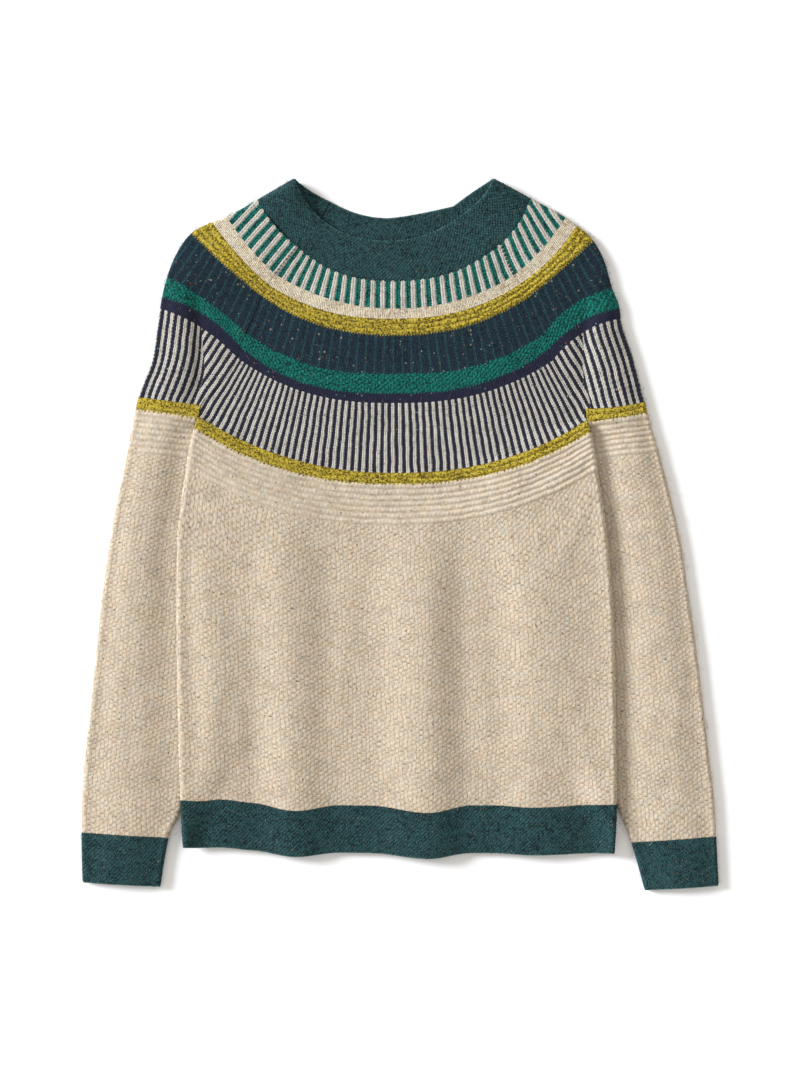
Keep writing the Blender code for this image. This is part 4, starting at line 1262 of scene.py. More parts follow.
# %% Yarns
# flecks, heather, mottle, drift: how many neps, and how strongly the ground varies stitch by
# stitch, in small blotches, and between its cool and its warm cast
Yarn = namedtuple("Yarn", "ground shade fleck_a fleck_b fleck_c flecks heather mottle drift")
RUST, SKY, OAT = (0.22, 0.09, 0.03), (0.16, 0.30, 0.30), (0.36, 0.30, 0.22)
TAN, SMOKE, SOOT = (0.32, 0.22, 0.12), (0.26, 0.29, 0.30), (0.11, 0.09, 0.08)
PEAT, LICHEN, HUSK = (0.055, 0.045, 0.030), (0.06, 0.13, 0.13), (0.13, 0.12, 0.085)
YARNS = {
    "cream": Yarn((0.576, 0.497, 0.398), (0.34, 0.28, 0.208), TAN, SMOKE, SOOT, 0.34, 0.8, 0.25, 1.0),
    "band": Yarn((0.71, 0.65, 0.52), (0.33, 0.25, 0.17), (0.35, 0.13, 0.07), SMOKE, SOOT,
                 0.6, 0.8, 0.5, 1.0),
    "pearl": Yarn((0.54, 0.51, 0.46), (0.3, 0.28, 0.25), TAN, SMOKE, SOOT, 0.28, 0.7, 0.35, 0.4),
    "mustard": Yarn((0.44, 0.34, 0.04), (0.1, 0.075, 0.004), (0.5, 0.43, 0.15), (0.07, 0.06, 0.01),
                    (0.28, 0.15, 0.03), 0.6, 0.8, 1.6, 0.0),
    "aubergine": Yarn((0.018, 0.02, 0.044), (0.009, 0.009, 0.02), RUST, SKY, OAT, 0.16, 0.6, 0.4, 0.0),
    "emerald": Yarn((0.006, 0.135, 0.108), (0.001, 0.03, 0.028), (0.04, 0.25, 0.2), (0.008, 0.04, 0.05),
                    (0.03, 0.2, 0.14), 0.5, 0.8, 1.4, 0.0),
    "navy": Yarn((0.014, 0.03, 0.048), (0.006, 0.012, 0.02), RUST, SKY, OAT, 0.25, 0.8, 0.8, 0.0),
    "teal": Yarn((0.024, 0.09, 0.09), (0.01, 0.032, 0.04), RUST, SKY, OAT, 0.3, 0.8, 0.8, 0.0),
    "ink": Yarn((0.018, 0.02, 0.036), (0.009, 0.009, 0.018), RUST, SKY, OAT, 0.16, 0.6, 0.3, 0.0),
    "spruce": Yarn((0.028, 0.082, 0.088), (0.006, 0.018, 0.022), PEAT, LICHEN, HUSK, 0.6, 0.9, 0.8, 0.0),
}
print("yarns:", ", ".join(YARNS))

# %% [markdown]
# ## Wool finishes
#
# A finish joins a stitch group with one or two yarns. Two-colour stripes pick their yarn by
# the stitch's number. Painted shade darkens the colour in the gaps between the loops, and the
# bump gives the loops their round sides at a size below the mesh. Wool's soft edge light is
# the shader's own sheen.

# %% Make a wool finish
# hollow: how far shade is painted into the gaps. bump_height: in millimetres. uneven: how far the stitches
# stray.
Finish = namedtuple("Finish", "hollow hollow_tint bump_height sheen uneven")
# warm, cool and deep tints that the painted shade in the gaps between the loops takes
WARM_GAP_SHADE, COOL_GAP_SHADE, DEEP_GAP_SHADE = (0.42, 0.33, 0.21), (0.25, 0.25, 0.28), (0.10, 0.12, 0.14)      # tints of the gaps
FINISHES = {
    "moss": Finish(0.72, WARM_GAP_SHADE, 0.36, 0.15, 0.6),
    "ridges": Finish(0.32, WARM_GAP_SHADE, 0.5, 0.15, 0.4),
    "mustard": Finish(0.6, WARM_GAP_SHADE, 0.8, 0.1, 0.4),
    "stripes": Finish(0.4, COOL_GAP_SHADE, 0.6, 0.06, 0.25),
    "aubergine": Finish(0.6, COOL_GAP_SHADE, 0.5, 0.04, 0.25),
    "emerald": Finish(0.6, COOL_GAP_SHADE, 0.8, 0.04, 0.6),
    "navy": Finish(0.8, COOL_GAP_SHADE, 0.7, 0.04, 0.25),
    "cream_band": Finish(0.7, WARM_GAP_SHADE, 0.6, 0.1, 0.25),
    "green_stripes": Finish(0.55, COOL_GAP_SHADE, 0.6, 0.06, 0.25),
    "welt": Finish(0.95, DEEP_GAP_SHADE, 0.8, 0.04, 1.5),
}
FIBRE_BUMP = 0.28        # share of the bump that the fibres make
STRIPE_WOBBLE = 0.3      # how far the fibres blur a stripe's sides
WOOL_ROUGHNESS, WOOL_SPECULAR, SHEEN_ROUGHNESS = 0.92, 0.12, 0.5
# share: width within its period. soft: blur of its sides. beads: how far it swells with each stitch.
Stripe = namedtuple("Stripe", "yarn period share soft beads strength")


def new_material(name, roughness, specular):
    """A material with its tree and its shader, still without a colour."""
    material = bpy.data.materials.new(name)
    material.use_nodes = True
    shader = material.node_tree.nodes["Principled BSDF"]
    shader.inputs["Roughness"].default_value = roughness
    shader.inputs["Specular IOR Level"].default_value = specular
    return material, material.node_tree, shader


def yarn_colour(tree, yarn, wales, courses):
    return placed(tree, DONEGAL_YARN, Ground=yarn.ground, Shade=yarn.shade, Fleck_A=yarn.fleck_a,
                  Fleck_B=yarn.fleck_b, Fleck_C=yarn.fleck_c, Flecks=yarn.flecks, Heather=yarn.heather,
                  Mottle=yarn.mottle, Drift=yarn.drift, Wales=wales, Courses=courses)


def wool_finish(name, stitch_group, yarn, stitch_scale=1.0, slant=0.0, stripe=None, above=None,
                last_course=0.0, depth=0.7):
    """A material of one yarn, with an optional Stripe, and the yarn of the next zone up above."""
    finish = FINISHES[name]
    material, tree, shader = new_material(name, WOOL_ROUGHNESS, WOOL_SPECULAR)
    split = tree.nodes.new("ShaderNodeSeparateXYZ")
    knit = tree.nodes.new("ShaderNodeUVMap")
    knit.uv_map = "knit"
    tree.links.new(knit.outputs["UV"], split.inputs[0])
    wales, courses = Wire(tree, split.outputs["X"]), Wire(tree, split.outputs["Y"])

    yarn_out = yarn_colour(tree, yarn, wales, courses)
    colour, fibre = yarn_out["Colour"], yarn_out["Fibre"]
    leaning = (wales + courses * slant) * stitch_scale
    stitches = placed(tree, stitch_group, Wales=leaning, Courses=courses * stitch_scale,
                      Uneven=finish.uneven)
    if stripe is not None:
        centred = ((wales * (1.0 / stripe.period) + 0.5).math("FRACT") - 0.5).math("ABSOLUTE")
        beads = (courses * (2 * math.pi)).math("COSINE") * stripe.beads
        wobble = (fibre - 0.5) * STRIPE_WOBBLE
        half = stripe.share / 2
        chosen = (centred + beads + wobble).step_up(half - stripe.soft, half + stripe.soft).inverse()
        chosen = chosen * (fibre * stripe.strength).math("MINIMUM", 1.0)
        colour = mixed(tree, chosen, colour, yarn_colour(tree, stripe.yarn, wales, courses)["Colour"])
    if above is not None:
        change = placed(tree, COLOUR_CHANGE, Wales=wales, Courses=courses, Last_course=last_course,
                        Depth=depth)
        colour = mixed(tree, change["Above"], colour, yarn_colour(tree, above, wales, courses)["Colour"])
    # painted shade: the gaps between the loops are darkened towards the finish's shade tint
    dark = mixed(tree, stitches["Hollow"] * finish.hollow, colour, finish.hollow_tint, "MULTIPLY")
    dark.to(shader.inputs["Base Color"])

    bump = tree.nodes.new("ShaderNodeBump")
    bump.inputs["Strength"].default_value = 1.0
    bump.inputs["Distance"].default_value = finish.bump_height * MM
    (stitches["Height"] + fibre * FIBRE_BUMP).to(bump.inputs["Height"])
    tree.links.new(bump.outputs["Normal"], shader.inputs["Normal"])
    shader.inputs["Sheen Weight"].default_value = finish.sheen
    shader.inputs["Sheen Roughness"].default_value = SHEEN_ROUGHNESS
    return material


cream, mustard, emerald, spruce = (YARNS[name] for name in ("cream", "mustard", "emerald", "spruce"))
FINISH = {
    "moss": wool_finish("moss", STAGGERED_BUMPS, cream),
    "ridges": wool_finish("ridges", GARTER_RIDGES, cream, above=mustard, last_course=14.0),
    "mustard": wool_finish("mustard", GARTER_RIDGES, mustard),
    "stripes": wool_finish("stripes", STOCKING_STITCH, YARNS["ink"],
                           stripe=Stripe(YARNS["pearl"], STRIPE_PERIOD, 0.48, 0.04, 0.03, 9.0)),
    "aubergine": wool_finish("aubergine", STOCKING_STITCH, YARNS["aubergine"], above=emerald,
                             last_course=4.0),
    "emerald": wool_finish("emerald", STAGGERED_BUMPS, emerald, above=YARNS["navy"], last_course=8.0),
    "navy": wool_finish("navy", STOCKING_STITCH, YARNS["navy"], above=mustard, last_course=14.0,
                        stripe=Stripe(YARNS["teal"], NAVY_PERIOD, 0.18, 0.10, 0.05, 1.6)),
    "cream_band": wool_finish("cream_band", STOCKING_STITCH, YARNS["band"]),
    "green_stripes": wool_finish("green_stripes", STOCKING_STITCH, emerald, above=spruce, last_course=10.0,
                                 depth=0.5,
                                 stripe=Stripe(YARNS["pearl"], GREEN_PERIOD, 0.50, 0.03, 0.01, 9.0)),
    "welt": wool_finish("welt", STAGGERED_BUMPS, spruce, stitch_scale=2.0, slant=WELT_SLANT),
}
print("finishes:", ", ".join(FINISH))

# %% [markdown]
# ## Front and back panels
#
# A panel runs from its welt to the neckband. Below the underarm its sides turn down to meet
# the other panel, and above it they end at the raglan seams. The back lies underneath, so
# it gets a coarser grid.

# %% Panels


def body_row(place):
    """Plan curve, and how far its sides turn."""
    line = table_at(BODY, place)
    turned = float(smooth((UNDERARM - place) / SIDE_FADE))
    curve = bowed_line(YOKE_MIDDLE_X, line, line.side_l, line.side_r, line.wave)
    spare = SEAM * (1.0 - turned)
    return trimmed(curve, spare, spare), turned


def yoke_row(course):
    return trimmed(bowed_line(YOKE_MIDDLE_X, course, course.seam_l, course.seam_r), SEAM, SEAM)


def seam_wales(zone):
    """Stitches of a yoke zone from the middle of the front to its left and right seam."""
    points, lengths = yoke_row(table_at(YOKE, zone.start))
    middle = np.interp(YOKE_MIDDLE_X, points[:, 0], lengths)
    return middle / zone.stitch_low, (lengths[-1] - middle) / zone.stitch_low


SEAM_WALES = {zone.end: seam_wales(zone) for zone in FRONT_ZONES if zone.start >= UNDERARM}
STRIPES_LOW, STRIPES_HIGH = 61.0, 131.0
OUTWARDS = {-1: np.array([-0.83, 0.55]), 1: np.array([0.83, 0.55])}      # along a course at a seam


def seam_bulge(zone, place, side):
    """How far the seam lies outside the straight line between the stripes' two corners."""
    if zone.name != "stripes":
        return 0.0
    name = "seam_l" if side < 0 else "seam_r"
    low, high, here = (np.array(getattr(table_at(YOKE, p), name)) for p in (STRIPES_LOW, STRIPES_HIGH, place))
    straight = low + (high - low) * (place - STRIPES_LOW) / (STRIPES_HIGH - STRIPES_LOW)
    return float((here - straight) @ OUTWARDS[side])


def panel_count(columns):
    """Counts of a panel. In the yoke a seam always falls on the same stitch, so the stripes fan."""
    def count(zone, place, row):
        if zone.stitch_low is None:
            return one_count(columns)
        stitch = stitch_at(zone, place)
        side = row.run - np.interp(YOKE_MIDDLE_X, row.points[:, 0], row.run)
        wales = side / stitch
        if zone.end in SEAM_WALES:
            halves = []
            for way, half, whole in zip((-1, 1), (-side[0], side[-1]), SEAM_WALES[zone.end]):
                whole = whole + seam_bulge(zone, place, way) / stitch
                share = side * way / half
                even = half / (stitch * whole)
                halves.append(way * whole * (even * share + (1.0 - even) * share ** 3))
            wales = np.where(side < 0, *halves)
        return one_count(wales)
    return count


def panel_columns(stitches, to_a_stitch, fine_ends=True):
    """Column places across a panel, in stitches, finer where the cloth turns."""
    regular = np.arange(1, stitches * to_a_stitch) / to_a_stitch
    ends = np.array([0.12, 0.3, 0.75]) if fine_ends else np.array([0.12])
    closest = ends[-1] + 0.05
    inside = regular[(regular > closest) & (regular < stitches - closest)]
    return np.concatenate([[0.0], ends, inside, stitches - ends[::-1], [float(stitches)]])


def lay_panel(node, zones, front, columns, hidden_step, free=None):
    """Lays every row of a panel or welt, and builds its wall."""
    gap, foot_edge = (0.0, EDGE) if free else (SEAM, SEAM_EDGE)
    places, spans = zone_rows(zones, gap, gap, foot_edge, SEAM_EDGE)
    rows = []
    for place in places:
        if place <= UNDERARM:
            line, turned = body_row(place)
        else:
            course = table_at(YOKE, place)
            line, turned = yoke_row(course if front else back_of(course)), 0.0
        rows.append(lay_row(line, lambda total: total * columns / columns[-1], panel_heights(turned), front,
                            END_TURN * turned, END_TURN * turned, BODY_CREASES if front else ()))
    cloth_wall(node, spans, rows, panel_count(columns), 1 if front else -1, hidden_step, free=free)


lay_panel("front_panel", FRONT_ZONES, True, panel_columns(BODY_STITCHES, 2), (4, 4))

# %% The back panel
BACK_ROWS = {"moss": 118, "ridges": 21, "mustard": 6, "stripes": 24, "emerald": 10, "navy": 12,
             "green_stripes": 9}         # rows of points in each zone, and 4 in the others
back_zones = [zone._replace(rows=BACK_ROWS.get(zone.name, 4)) for zone in FRONT_ZONES]
lay_panel("back_panel", back_zones, False, panel_columns(BODY_STITCHES, 1), (3, 3))

# %% [markdown]
# ## Hem welts
#
# The welts are dark green, in a finer bumpy stitch. Their foot is a free edge, so it is
# rounded like a roll of yarn.

# %% Hem welts
HEM_STITCHES = 112
WELT_ROWS = 4            # rows of points to a course of a welt
hem_foot = BODY[0].mid
hem_courses = round((WELT_TOP - hem_foot) / WELT_COURSE)
hem_zone = Zone("welt", hem_foot, WELT_TOP, hem_courses, hem_courses * WELT_ROWS, None, None)
lay_panel("front_hem", [hem_zone], True, panel_columns(HEM_STITCHES, 4), (6, 8), "foot")
back_hem_zone = hem_zone._replace(start=hem_foot + BACK_HEM_RISE, rows=hem_courses * 2)
lay_panel("back_hem", [back_hem_zone], False, panel_columns(HEM_STITCHES, 2), (3, 4), "foot")

# %% [markdown]
# ## Sleeves
#
# A sleeve is one piece wrapped round, with its outline as the fold. Its stitches are counted
# from that fold, and the ones that run into a seam end there, as in a shaped sleeve. So a
# grid of whole stitches is laid from the fold inwards, and points past the seam are merged
# into it.

# %% Lay both layers of one sleeve row
HELD_WITHIN = 1.6        # edge widths from a seam within which a column is held at the edge


def fold_columns(longest, step, stitch):
    """Places from the fold inwards, in stitches, finer near the fold."""
    near = np.array([0.0, 0.2, 0.45, 0.75])
    return np.concatenate([near, np.arange(1.0, longest / stitch + step, step)])


def half_row(line, columns, stitch, heights, front, turn_start, creases=()):
    """One layer of a sleeve, from its seam to the fold, columns past the seam held at it."""
    def runs(total):
        inwards = total - columns[::-1] * stitch
        return np.concatenate([[0.0], np.where(inwards < SEAM_EDGE * HELD_WITHIN, SEAM_EDGE, inwards)])
    return lay_row(line, runs, heights, front, turn_start, RIGHT_ANGLE, creases)


RoundRow = namedtuple("RoundRow", "points along total from_fold from_seam share")


def wrapped(upper, lower):
    """Both layers as one row that goes round the fold."""
    def joined(first, second):
        return np.concatenate([first, second[::-1][1:]])
    return RoundRow(joined(upper.points, lower.points), joined(upper.along, -lower.along),
                    upper.total + lower.total, joined(upper.total - upper.run, lower.run - lower.total),
                    joined(upper.run, lower.run), joined(upper.run / upper.total, lower.run / lower.total))


def head_row(courses, left, columns, stitch, rules, creases=()):
    """One row round a sleeve head or side neckband. Each pair is for the front and back layer."""
    names = ("seam_l", "turn_l", "fold_l") if left else ("seam_r", "turn_r", "fold_r")
    halves = []
    for course, places, rule, front in zip(courses, columns, rules, (True, False)):
        line = trimmed(head_line(*(getattr(course, name) for name in names)), SEAM, 0.0)
        halves.append(half_row(line, places, stitch, rule, front, 0.0, creases if front else ()))
    return wrapped(*halves)


def sleeve_row(line, columns, stitch, rule, turn):
    """One row round a sleeve below the underarm, or round its cuff."""
    upper = half_row(line, columns[0], stitch, rule, True, turn, SLEEVE_CREASES)
    lower = half_row(line, columns[1], stitch, rule, False, turn)
    return wrapped(upper, lower)


def round_count(left):
    """Counts of a wrapped piece: from the fold outwards, or on from the panel at the seam."""
    def count(zone, place, row):
        stitch = stitch_at(zone, place)
        from_fold = row.from_fold / stitch
        if zone.end not in SEAM_WALES:
            return one_count(from_fold)
        way, whole = (-1, SEAM_WALES[zone.end][0]) if left else (1, SEAM_WALES[zone.end][1])
        from_seam = way * (whole + (seam_bulge(zone, place, way) + row.from_seam) / stitch)
        if zone.name != "stripes":
            return Counts(from_fold, from_seam, np.ones(len(from_fold), bool))
        return Counts(from_fold, from_seam, row.share < table_at(YOKE, place).valley)
    return count


print("sleeve helpers ready")

# %% Sleeves
LONGEST_SLEEVE_ROW = 148.0
SLEEVE_STEPS = (0.5, 1.0)        # stitches between the columns of the front and of the back layer
JOIN_EDGE = 0.5                  # how near the extra rows are where the yoke's rows take over


def make_sleeve(node, table, left):
    """From the cuff to the neckband."""
    underarm_lift = float(body_lift(*table[0].inner))
    columns = [fold_columns(LONGEST_SLEEVE_ROW, step, STRIPE_STITCH) for step in SLEEVE_STEPS]
    below, below_spans = zone_rows(SLEEVE_ZONES, SEAM, 0.0, SEAM_EDGE, JOIN_EDGE)
    above, above_spans = zone_rows(SLEEVE_YOKE_ZONES, 0.0, SEAM, JOIN_EDGE, SEAM_EDGE)
    rows = []
    for place in below[:-1]:
        line = table_at(table, place)
        turned = float(smooth(line.down / TIP_END))
        curve = trimmed(polyline([line.inner, line.outer]), SEAM, 0.0)
        stitch = STRIPE_STITCH + (BODY_STITCH - STRIPE_STITCH) * min(1.0, place / RIDGES_DOWN)
        rule = sleeve_heights(line, underarm_lift)
        rows.append(sleeve_row(curve, columns, stitch, rule, END_TURN * turned))
    for place in above:
        course = table_at(YOKE, place)
        courses = (course, back_of(course))
        seams = [getattr(c, "seam_l" if left else "seam_r") for c in courses]
        rules = [head_heights(c, float(body_lift(*seam))) for c, seam in zip(courses, seams)]
        rows.append(head_row(courses, left, columns, STRIPE_STITCH, rules, SLEEVE_CREASES))
    cloth_wall(node, below_spans + above_spans, rows, round_count(left), -1 if left else 1, (4, 3), True)


make_sleeve("left_sleeve", SLEEVE_LEFT, True)
make_sleeve("right_sleeve", SLEEVE_RIGHT, False)

# %% Cuffs
LONGEST_CUFF_ROW = 92.0
CUFF_STEPS = (0.25, 0.5)


def make_cuff(node, table, left):
    """The welt at a sleeve's end."""
    courses = round((CUFF_FOOT - CUFF_TOP) / WELT_COURSE)
    zone = Zone("welt", CUFF_FOOT, CUFF_TOP, courses, courses * WELT_ROWS, WELT_STITCH, WELT_STITCH)
    places, spans = zone_rows([zone], 0.0, 0.0, EDGE, SEAM_EDGE)
    columns = [fold_columns(LONGEST_CUFF_ROW, step, WELT_STITCH) for step in CUFF_STEPS]
    rows = []
    for place in places:
        line = table_at(table, place)
        curve = polyline([line.inner, line.outer])
        rows.append(sleeve_row(curve, columns, WELT_STITCH, sleeve_heights(line, 0.0), END_TURN))
    cloth_wall(node, spans, rows, round_count(left), -1 if left else 1, (6, 6), True, "foot")


make_cuff("left_cuff", SLEEVE_LEFT, True)
make_cuff("right_cuff", SLEEVE_RIGHT, False)

# %% [markdown]
# ## Neckband
#
# Four parts are linked over the raglan seams. The inside of the back part shows through the
# neck, so its inner face is laid as finely as the outer one.

# %% Neckband
NECK_COURSES = 12
FRONT_NECK_STITCHES, BACK_NECK_STITCHES = 56, 48
NECK_STITCH = 3.7
LONGEST_NECK_ROW = 66.0
NECK_STEP = 0.25


def between(low, high, share):
    """A table row part of the way from one to the other."""
    return unflatten(low, [a + (b - a) * share for a, b in zip(flatten(low), flatten(high))])


def neck_rows(stitch=None):
    """Shares up the band and their spans: a linked foot and a rounded free edge."""
    zone = Zone("welt", 0.0, 1.0, NECK_COURSES, NECK_COURSES * WELT_ROWS, stitch, stitch)
    depth = NECK_FRONT[1].mid - NECK_FRONT[0].mid
    return zone_rows([zone], 0.0, 0.0, SEAM_EDGE / depth, EDGE / depth)


def make_neck_panel(node, table, stitches, front, hidden_step):
    """The front or back part, between the raglan seams."""
    places, spans = neck_rows()
    columns = panel_columns(stitches, WELT_ROWS, fine_ends=False)
    rows = []
    for share in places:
        course = between(*table, share)
        middle_x = YOKE_MIDDLE_X + (NECK_MIDDLE_X - YOKE_MIDDLE_X) * share
        line = trimmed(bowed_line(middle_x, course, course.seam_l, course.seam_r), SEAM, SEAM)
        reach = float(np.linalg.norm(np.subtract(course.fold_l, course.seam_l)))
        rows.append(lay_row(line, lambda total: total * columns / columns[-1], neck_heights(share, reach),
                            front))
    cloth_wall(node, spans, rows, panel_count(columns), 1 if front else -1, hidden_step, free="head")


def make_neck_side(node, left):
    """The part that goes round the corner over a sleeve head."""
    places, spans = neck_rows(NECK_STITCH)
    columns = fold_columns(LONGEST_NECK_ROW, NECK_STEP, NECK_STITCH)
    rows = []
    for share in places:
        courses = (between(*NECK_FRONT, share), between(*NECK_BACK, share))
        rules = (neck_heights(share),) * 2
        rows.append(head_row(courses, left, (columns, columns), NECK_STITCH, rules))
    cloth_wall(node, spans, rows, round_count(left), -1 if left else 1, (2, 2), True, "head")


make_neck_panel("front_neckband", NECK_FRONT, FRONT_NECK_STITCHES, True, (4, 6))
make_neck_panel("back_neckband", NECK_BACK, BACK_NECK_STITCHES, False, (1, 1))
make_neck_side("left_neckband", True)
make_neck_side("right_neckband", False)
print("triangles of cloth:", sum(TRIANGLES.values()))

# %% [markdown]
# ## Riding on the model
#
# Each piece of cloth stands for its own solid, which it hides, and is printed with the size that
# it was cut, or here knitted, to. The size comes from the middle of the wall.

BODY_NAME = "root"
for node, piece in pieces.items():
    sheet = SHEETS[node]
    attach(piece, BODY_NAME)
    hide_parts(node)
    min(sheet.area, sheet.width * sheet.length)
    print(node, "flat", round(sheet.width, 3), "x", round(sheet.length, 3))

# %% [markdown]
# ## Fluff, neps and stitches at the edges
#
# Wool is never smooth: single fibres stand off the yarn, the neps are real little knots, and a
# cast-off edge is a row of slanting stitches. Each is one small shape, repeated hundreds or
# thousands of times. A Python loop could place them. Geometry Nodes suit it better: a tree
# has named inputs for number, size and seed, and reads the cloth's own faces. It ends in
# Realize Instances, and its result is turned into a plain mesh.

# %% Helpers for Geometry Nodes trees
WHOLE, VECTOR, MATERIAL = "NodeSocketInt", "NodeSocketVector", "NodeSocketMaterial"


def new_geometry_tree(name, inputs):
    """An empty tree with geometry in and out. inputs are (name, kind, default) rows."""
    tree = bpy.data.node_groups.new(name, "GeometryNodeTree")
    tree.interface.new_socket(name="Geometry", in_out="INPUT", socket_type="NodeSocketGeometry")
    for title, kind, default in inputs:
        socket = tree.interface.new_socket(name=title, in_out="INPUT", socket_type=kind)
        if default is not None:
            socket.default_value = default
    tree.interface.new_socket(name="Geometry", in_out="OUTPUT", socket_type="NodeSocketGeometry")
    entry, leave = tree.nodes.new("NodeGroupInput"), tree.nodes.new("NodeGroupOutput")
    return tree, entry.outputs, leave.inputs


def add_node(tree, kind, given=None, **settings):
    """Adds a node and returns its first output. given holds sockets or values by input name."""
    node = tree.nodes.new(kind)
    for name, value in settings.items():
        setattr(node, name, value)
    for name, value in (given or {}).items():
        socket = next(s for s in node.inputs if s.name == name and s.enabled)
        if isinstance(value, bpy.types.NodeSocket):
            tree.links.new(value, socket)
        else:
            socket.default_value = value
    return next(s for s in node.outputs if s.enabled)


def random_number(tree, low, high, seed, kind="FLOAT"):
    return add_node(tree, "FunctionNodeRandomValue", {"Min": low, "Max": high, "Seed": seed}, data_type=kind)


def turned_by(tree, euler):
    return add_node(tree, "FunctionNodeEulerToRotation", {"Euler": euler})


def finish_tree(tree, instances, tone, given, leave):
    """Keeps each instance's tone as an attribute, makes them real and gives them their material."""
    kept = add_node(tree, "GeometryNodeStoreNamedAttribute",
                    {"Geometry": instances, "Name": "tone", "Value": tone},
                    data_type="FLOAT", domain="INSTANCE")
    real = add_node(tree, "GeometryNodeRealizeInstances", {"Geometry": kept})
    done = add_node(tree, "GeometryNodeSetMaterial", {"Geometry": real, "Material": given["Material"]})
    tree.links.new(done, leave["Geometry"])


def grow(name, tree, meshes, values):
    """Runs a tree on each mesh, and makes one plain piece of all that it gives."""
    points, faces, tones = [], [], []
    for number, mesh in enumerate(meshes):
        carrier = add_object("carrier", mesh)
        modifier = carrier.modifiers.new(tree.name, "NODES")
        modifier.node_group = tree
        for socket in tree.interface.items_tree:
            if socket.in_out == "INPUT" and socket.name in values:
                own = values[socket.name] + number if socket.name == "Seed" else values[socket.name]
                modifier[socket.identifier] = own
        evaluated = carrier.evaluated_get(bpy.context.evaluated_depsgraph_get())
        made = bpy.data.meshes.new_from_object(evaluated)
        bpy.data.objects.remove(carrier)
        first = len(points)
        above_floor = ((x, y, max(z, 0.0)) for x, y, z in (vertex.co for vertex in made.vertices))
        points.extend(above_floor)
        faces.extend([first + corner for corner in face.vertices] for face in made.polygons)
        if len(made.vertices):
            tones.extend(entry.value for entry in made.attributes["tone"].data)
        bpy.data.meshes.remove(made)
    whole = bpy.data.meshes.new(name)
    whole.from_pydata(points, [], faces)
    whole.attributes.new("tone", "FLOAT", "POINT").data.foreach_set("value", tones)
    whole.materials.append(values["Material"])
    whole.shade_smooth()
    piece = add_object(name, whole)
    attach(piece, BODY_NAME)
    keep_count(piece)


print("tree helpers ready")

# %% Colours of the single strands
STRAND_ROUGHNESS, STRAND_SPECULAR = 0.9, 0.1
GRAIN_SHADE = (0.7, 0.7, 0.7)
FIBRE_SHADES = {
    "cream_strands": [(0.62, 0.56, 0.46), (0.50, 0.43, 0.33), (0.42, 0.33, 0.22), (0.56, 0.53, 0.47)],
    "band_strands": [(0.03, 0.12, 0.11), (0.03, 0.05, 0.08), (0.02, 0.17, 0.13), (0.20, 0.20, 0.20)],
    "welt_strands": [(0.03, 0.10, 0.105), (0.05, 0.13, 0.13), (0.015, 0.05, 0.055), (0.07, 0.12, 0.11)],
    "cream_neps": [(0.10, 0.08, 0.07), (0.30, 0.17, 0.08), (0.20, 0.25, 0.28), (0.42, 0.32, 0.20)],
    "band_neps": [(0.16, 0.15, 0.13), (0.22, 0.10, 0.04), (0.08, 0.20, 0.19), (0.30, 0.25, 0.12)],
    "welt_neps": [(0.075, 0.062, 0.042), (0.07, 0.16, 0.17), (0.17, 0.16, 0.11), (0.05, 0.043, 0.030)],
    "link_stitches": [(0.42, 0.38, 0.32), (0.34, 0.32, 0.28), (0.02, 0.10, 0.09), (0.03, 0.05, 0.06)],
}


def strand_finish(name):
    """Bare wool, in one of four shades that each strand's tone picks."""
    material, tree, shader = new_material(name, STRAND_ROUGHNESS, STRAND_SPECULAR)
    tone = tree.nodes.new("ShaderNodeAttribute")
    tone.attribute_name = "tone"
    ramp = tree.nodes.new("ShaderNodeValToRGB")
    ramp.color_ramp.interpolation = "CONSTANT"
    shades = FIBRE_SHADES[name]
    for number, shade in enumerate(shades):
        if number < 2:
            element = ramp.color_ramp.elements[number]
            element.position = number / len(shades)
        else:
            element = ramp.color_ramp.elements.new(number / len(shades))
        element.color = (*shade, 1.0)
    tree.links.new(tone.outputs["Fac"], ramp.inputs["Fac"])
    where = tree.nodes.new("ShaderNodeTexCoord").outputs["Object"]
    grain = noise_at(tree, where, FIBRE_SCALE, 2.0)
    colour = mixed(tree, grain, Wire(tree, ramp.outputs["Color"]), GRAIN_SHADE, "MULTIPLY")
    colour.to(shader.inputs["Base Color"])
    return material


STRANDS = {name: strand_finish(name) for name in FIBRE_SHADES}
print("strand finishes:", ", ".join(STRANDS))

# %% [markdown]
# ## A tree that scatters one shape over the cloth
#
# Distribute Points on Faces gives points and the way that the cloth faces there. Only shown
# faces of one kind of yarn count. More fibres stand at the sides, where the cloth turns away
# and a real sweater shows its soft outline.

# %% The scatter tree
SCATTER_INPUTS = [("Kind", WHOLE, 1), ("Density on top", NUMBER, 9000.0),
                  ("Density at sides", NUMBER, 100000.0), ("Smallest", NUMBER, 0.003),
                  ("Largest", NUMBER, 0.006), ("Seed", WHOLE, 1), ("Material", MATERIAL, None)]
FACES_DOWN = -0.3            # faces that look further down than this stay bare
SIDE_FACE, TOP_FACE = 0.3, 0.8       # how far up a side looks, and the top


def fibre_shape(tree):
    """A bent fibre of length 1, that leaves the cloth and lies over."""
    path = add_node(tree, "GeometryNodeCurveQuadraticBezier",
                    {"Resolution": 3, "Start": (0.0, 0.0, -0.05), "Middle": (0.35, 0.0, 0.32),
                     "End": (1.0, 0.15, 0.10)})
    section = add_node(tree, "GeometryNodeCurvePrimitiveCircle", {"Resolution": 3, "Radius": 0.014})
    return add_node(tree, "GeometryNodeCurveToMesh",
                    {"Curve": path, "Profile Curve": section, "Fill Caps": True})


def nep_shape(tree):
    """A small knot of radius 1."""
    return add_node(tree, "GeometryNodeMeshIcoSphere", {"Radius": 1.0, "Subdivisions": 1})


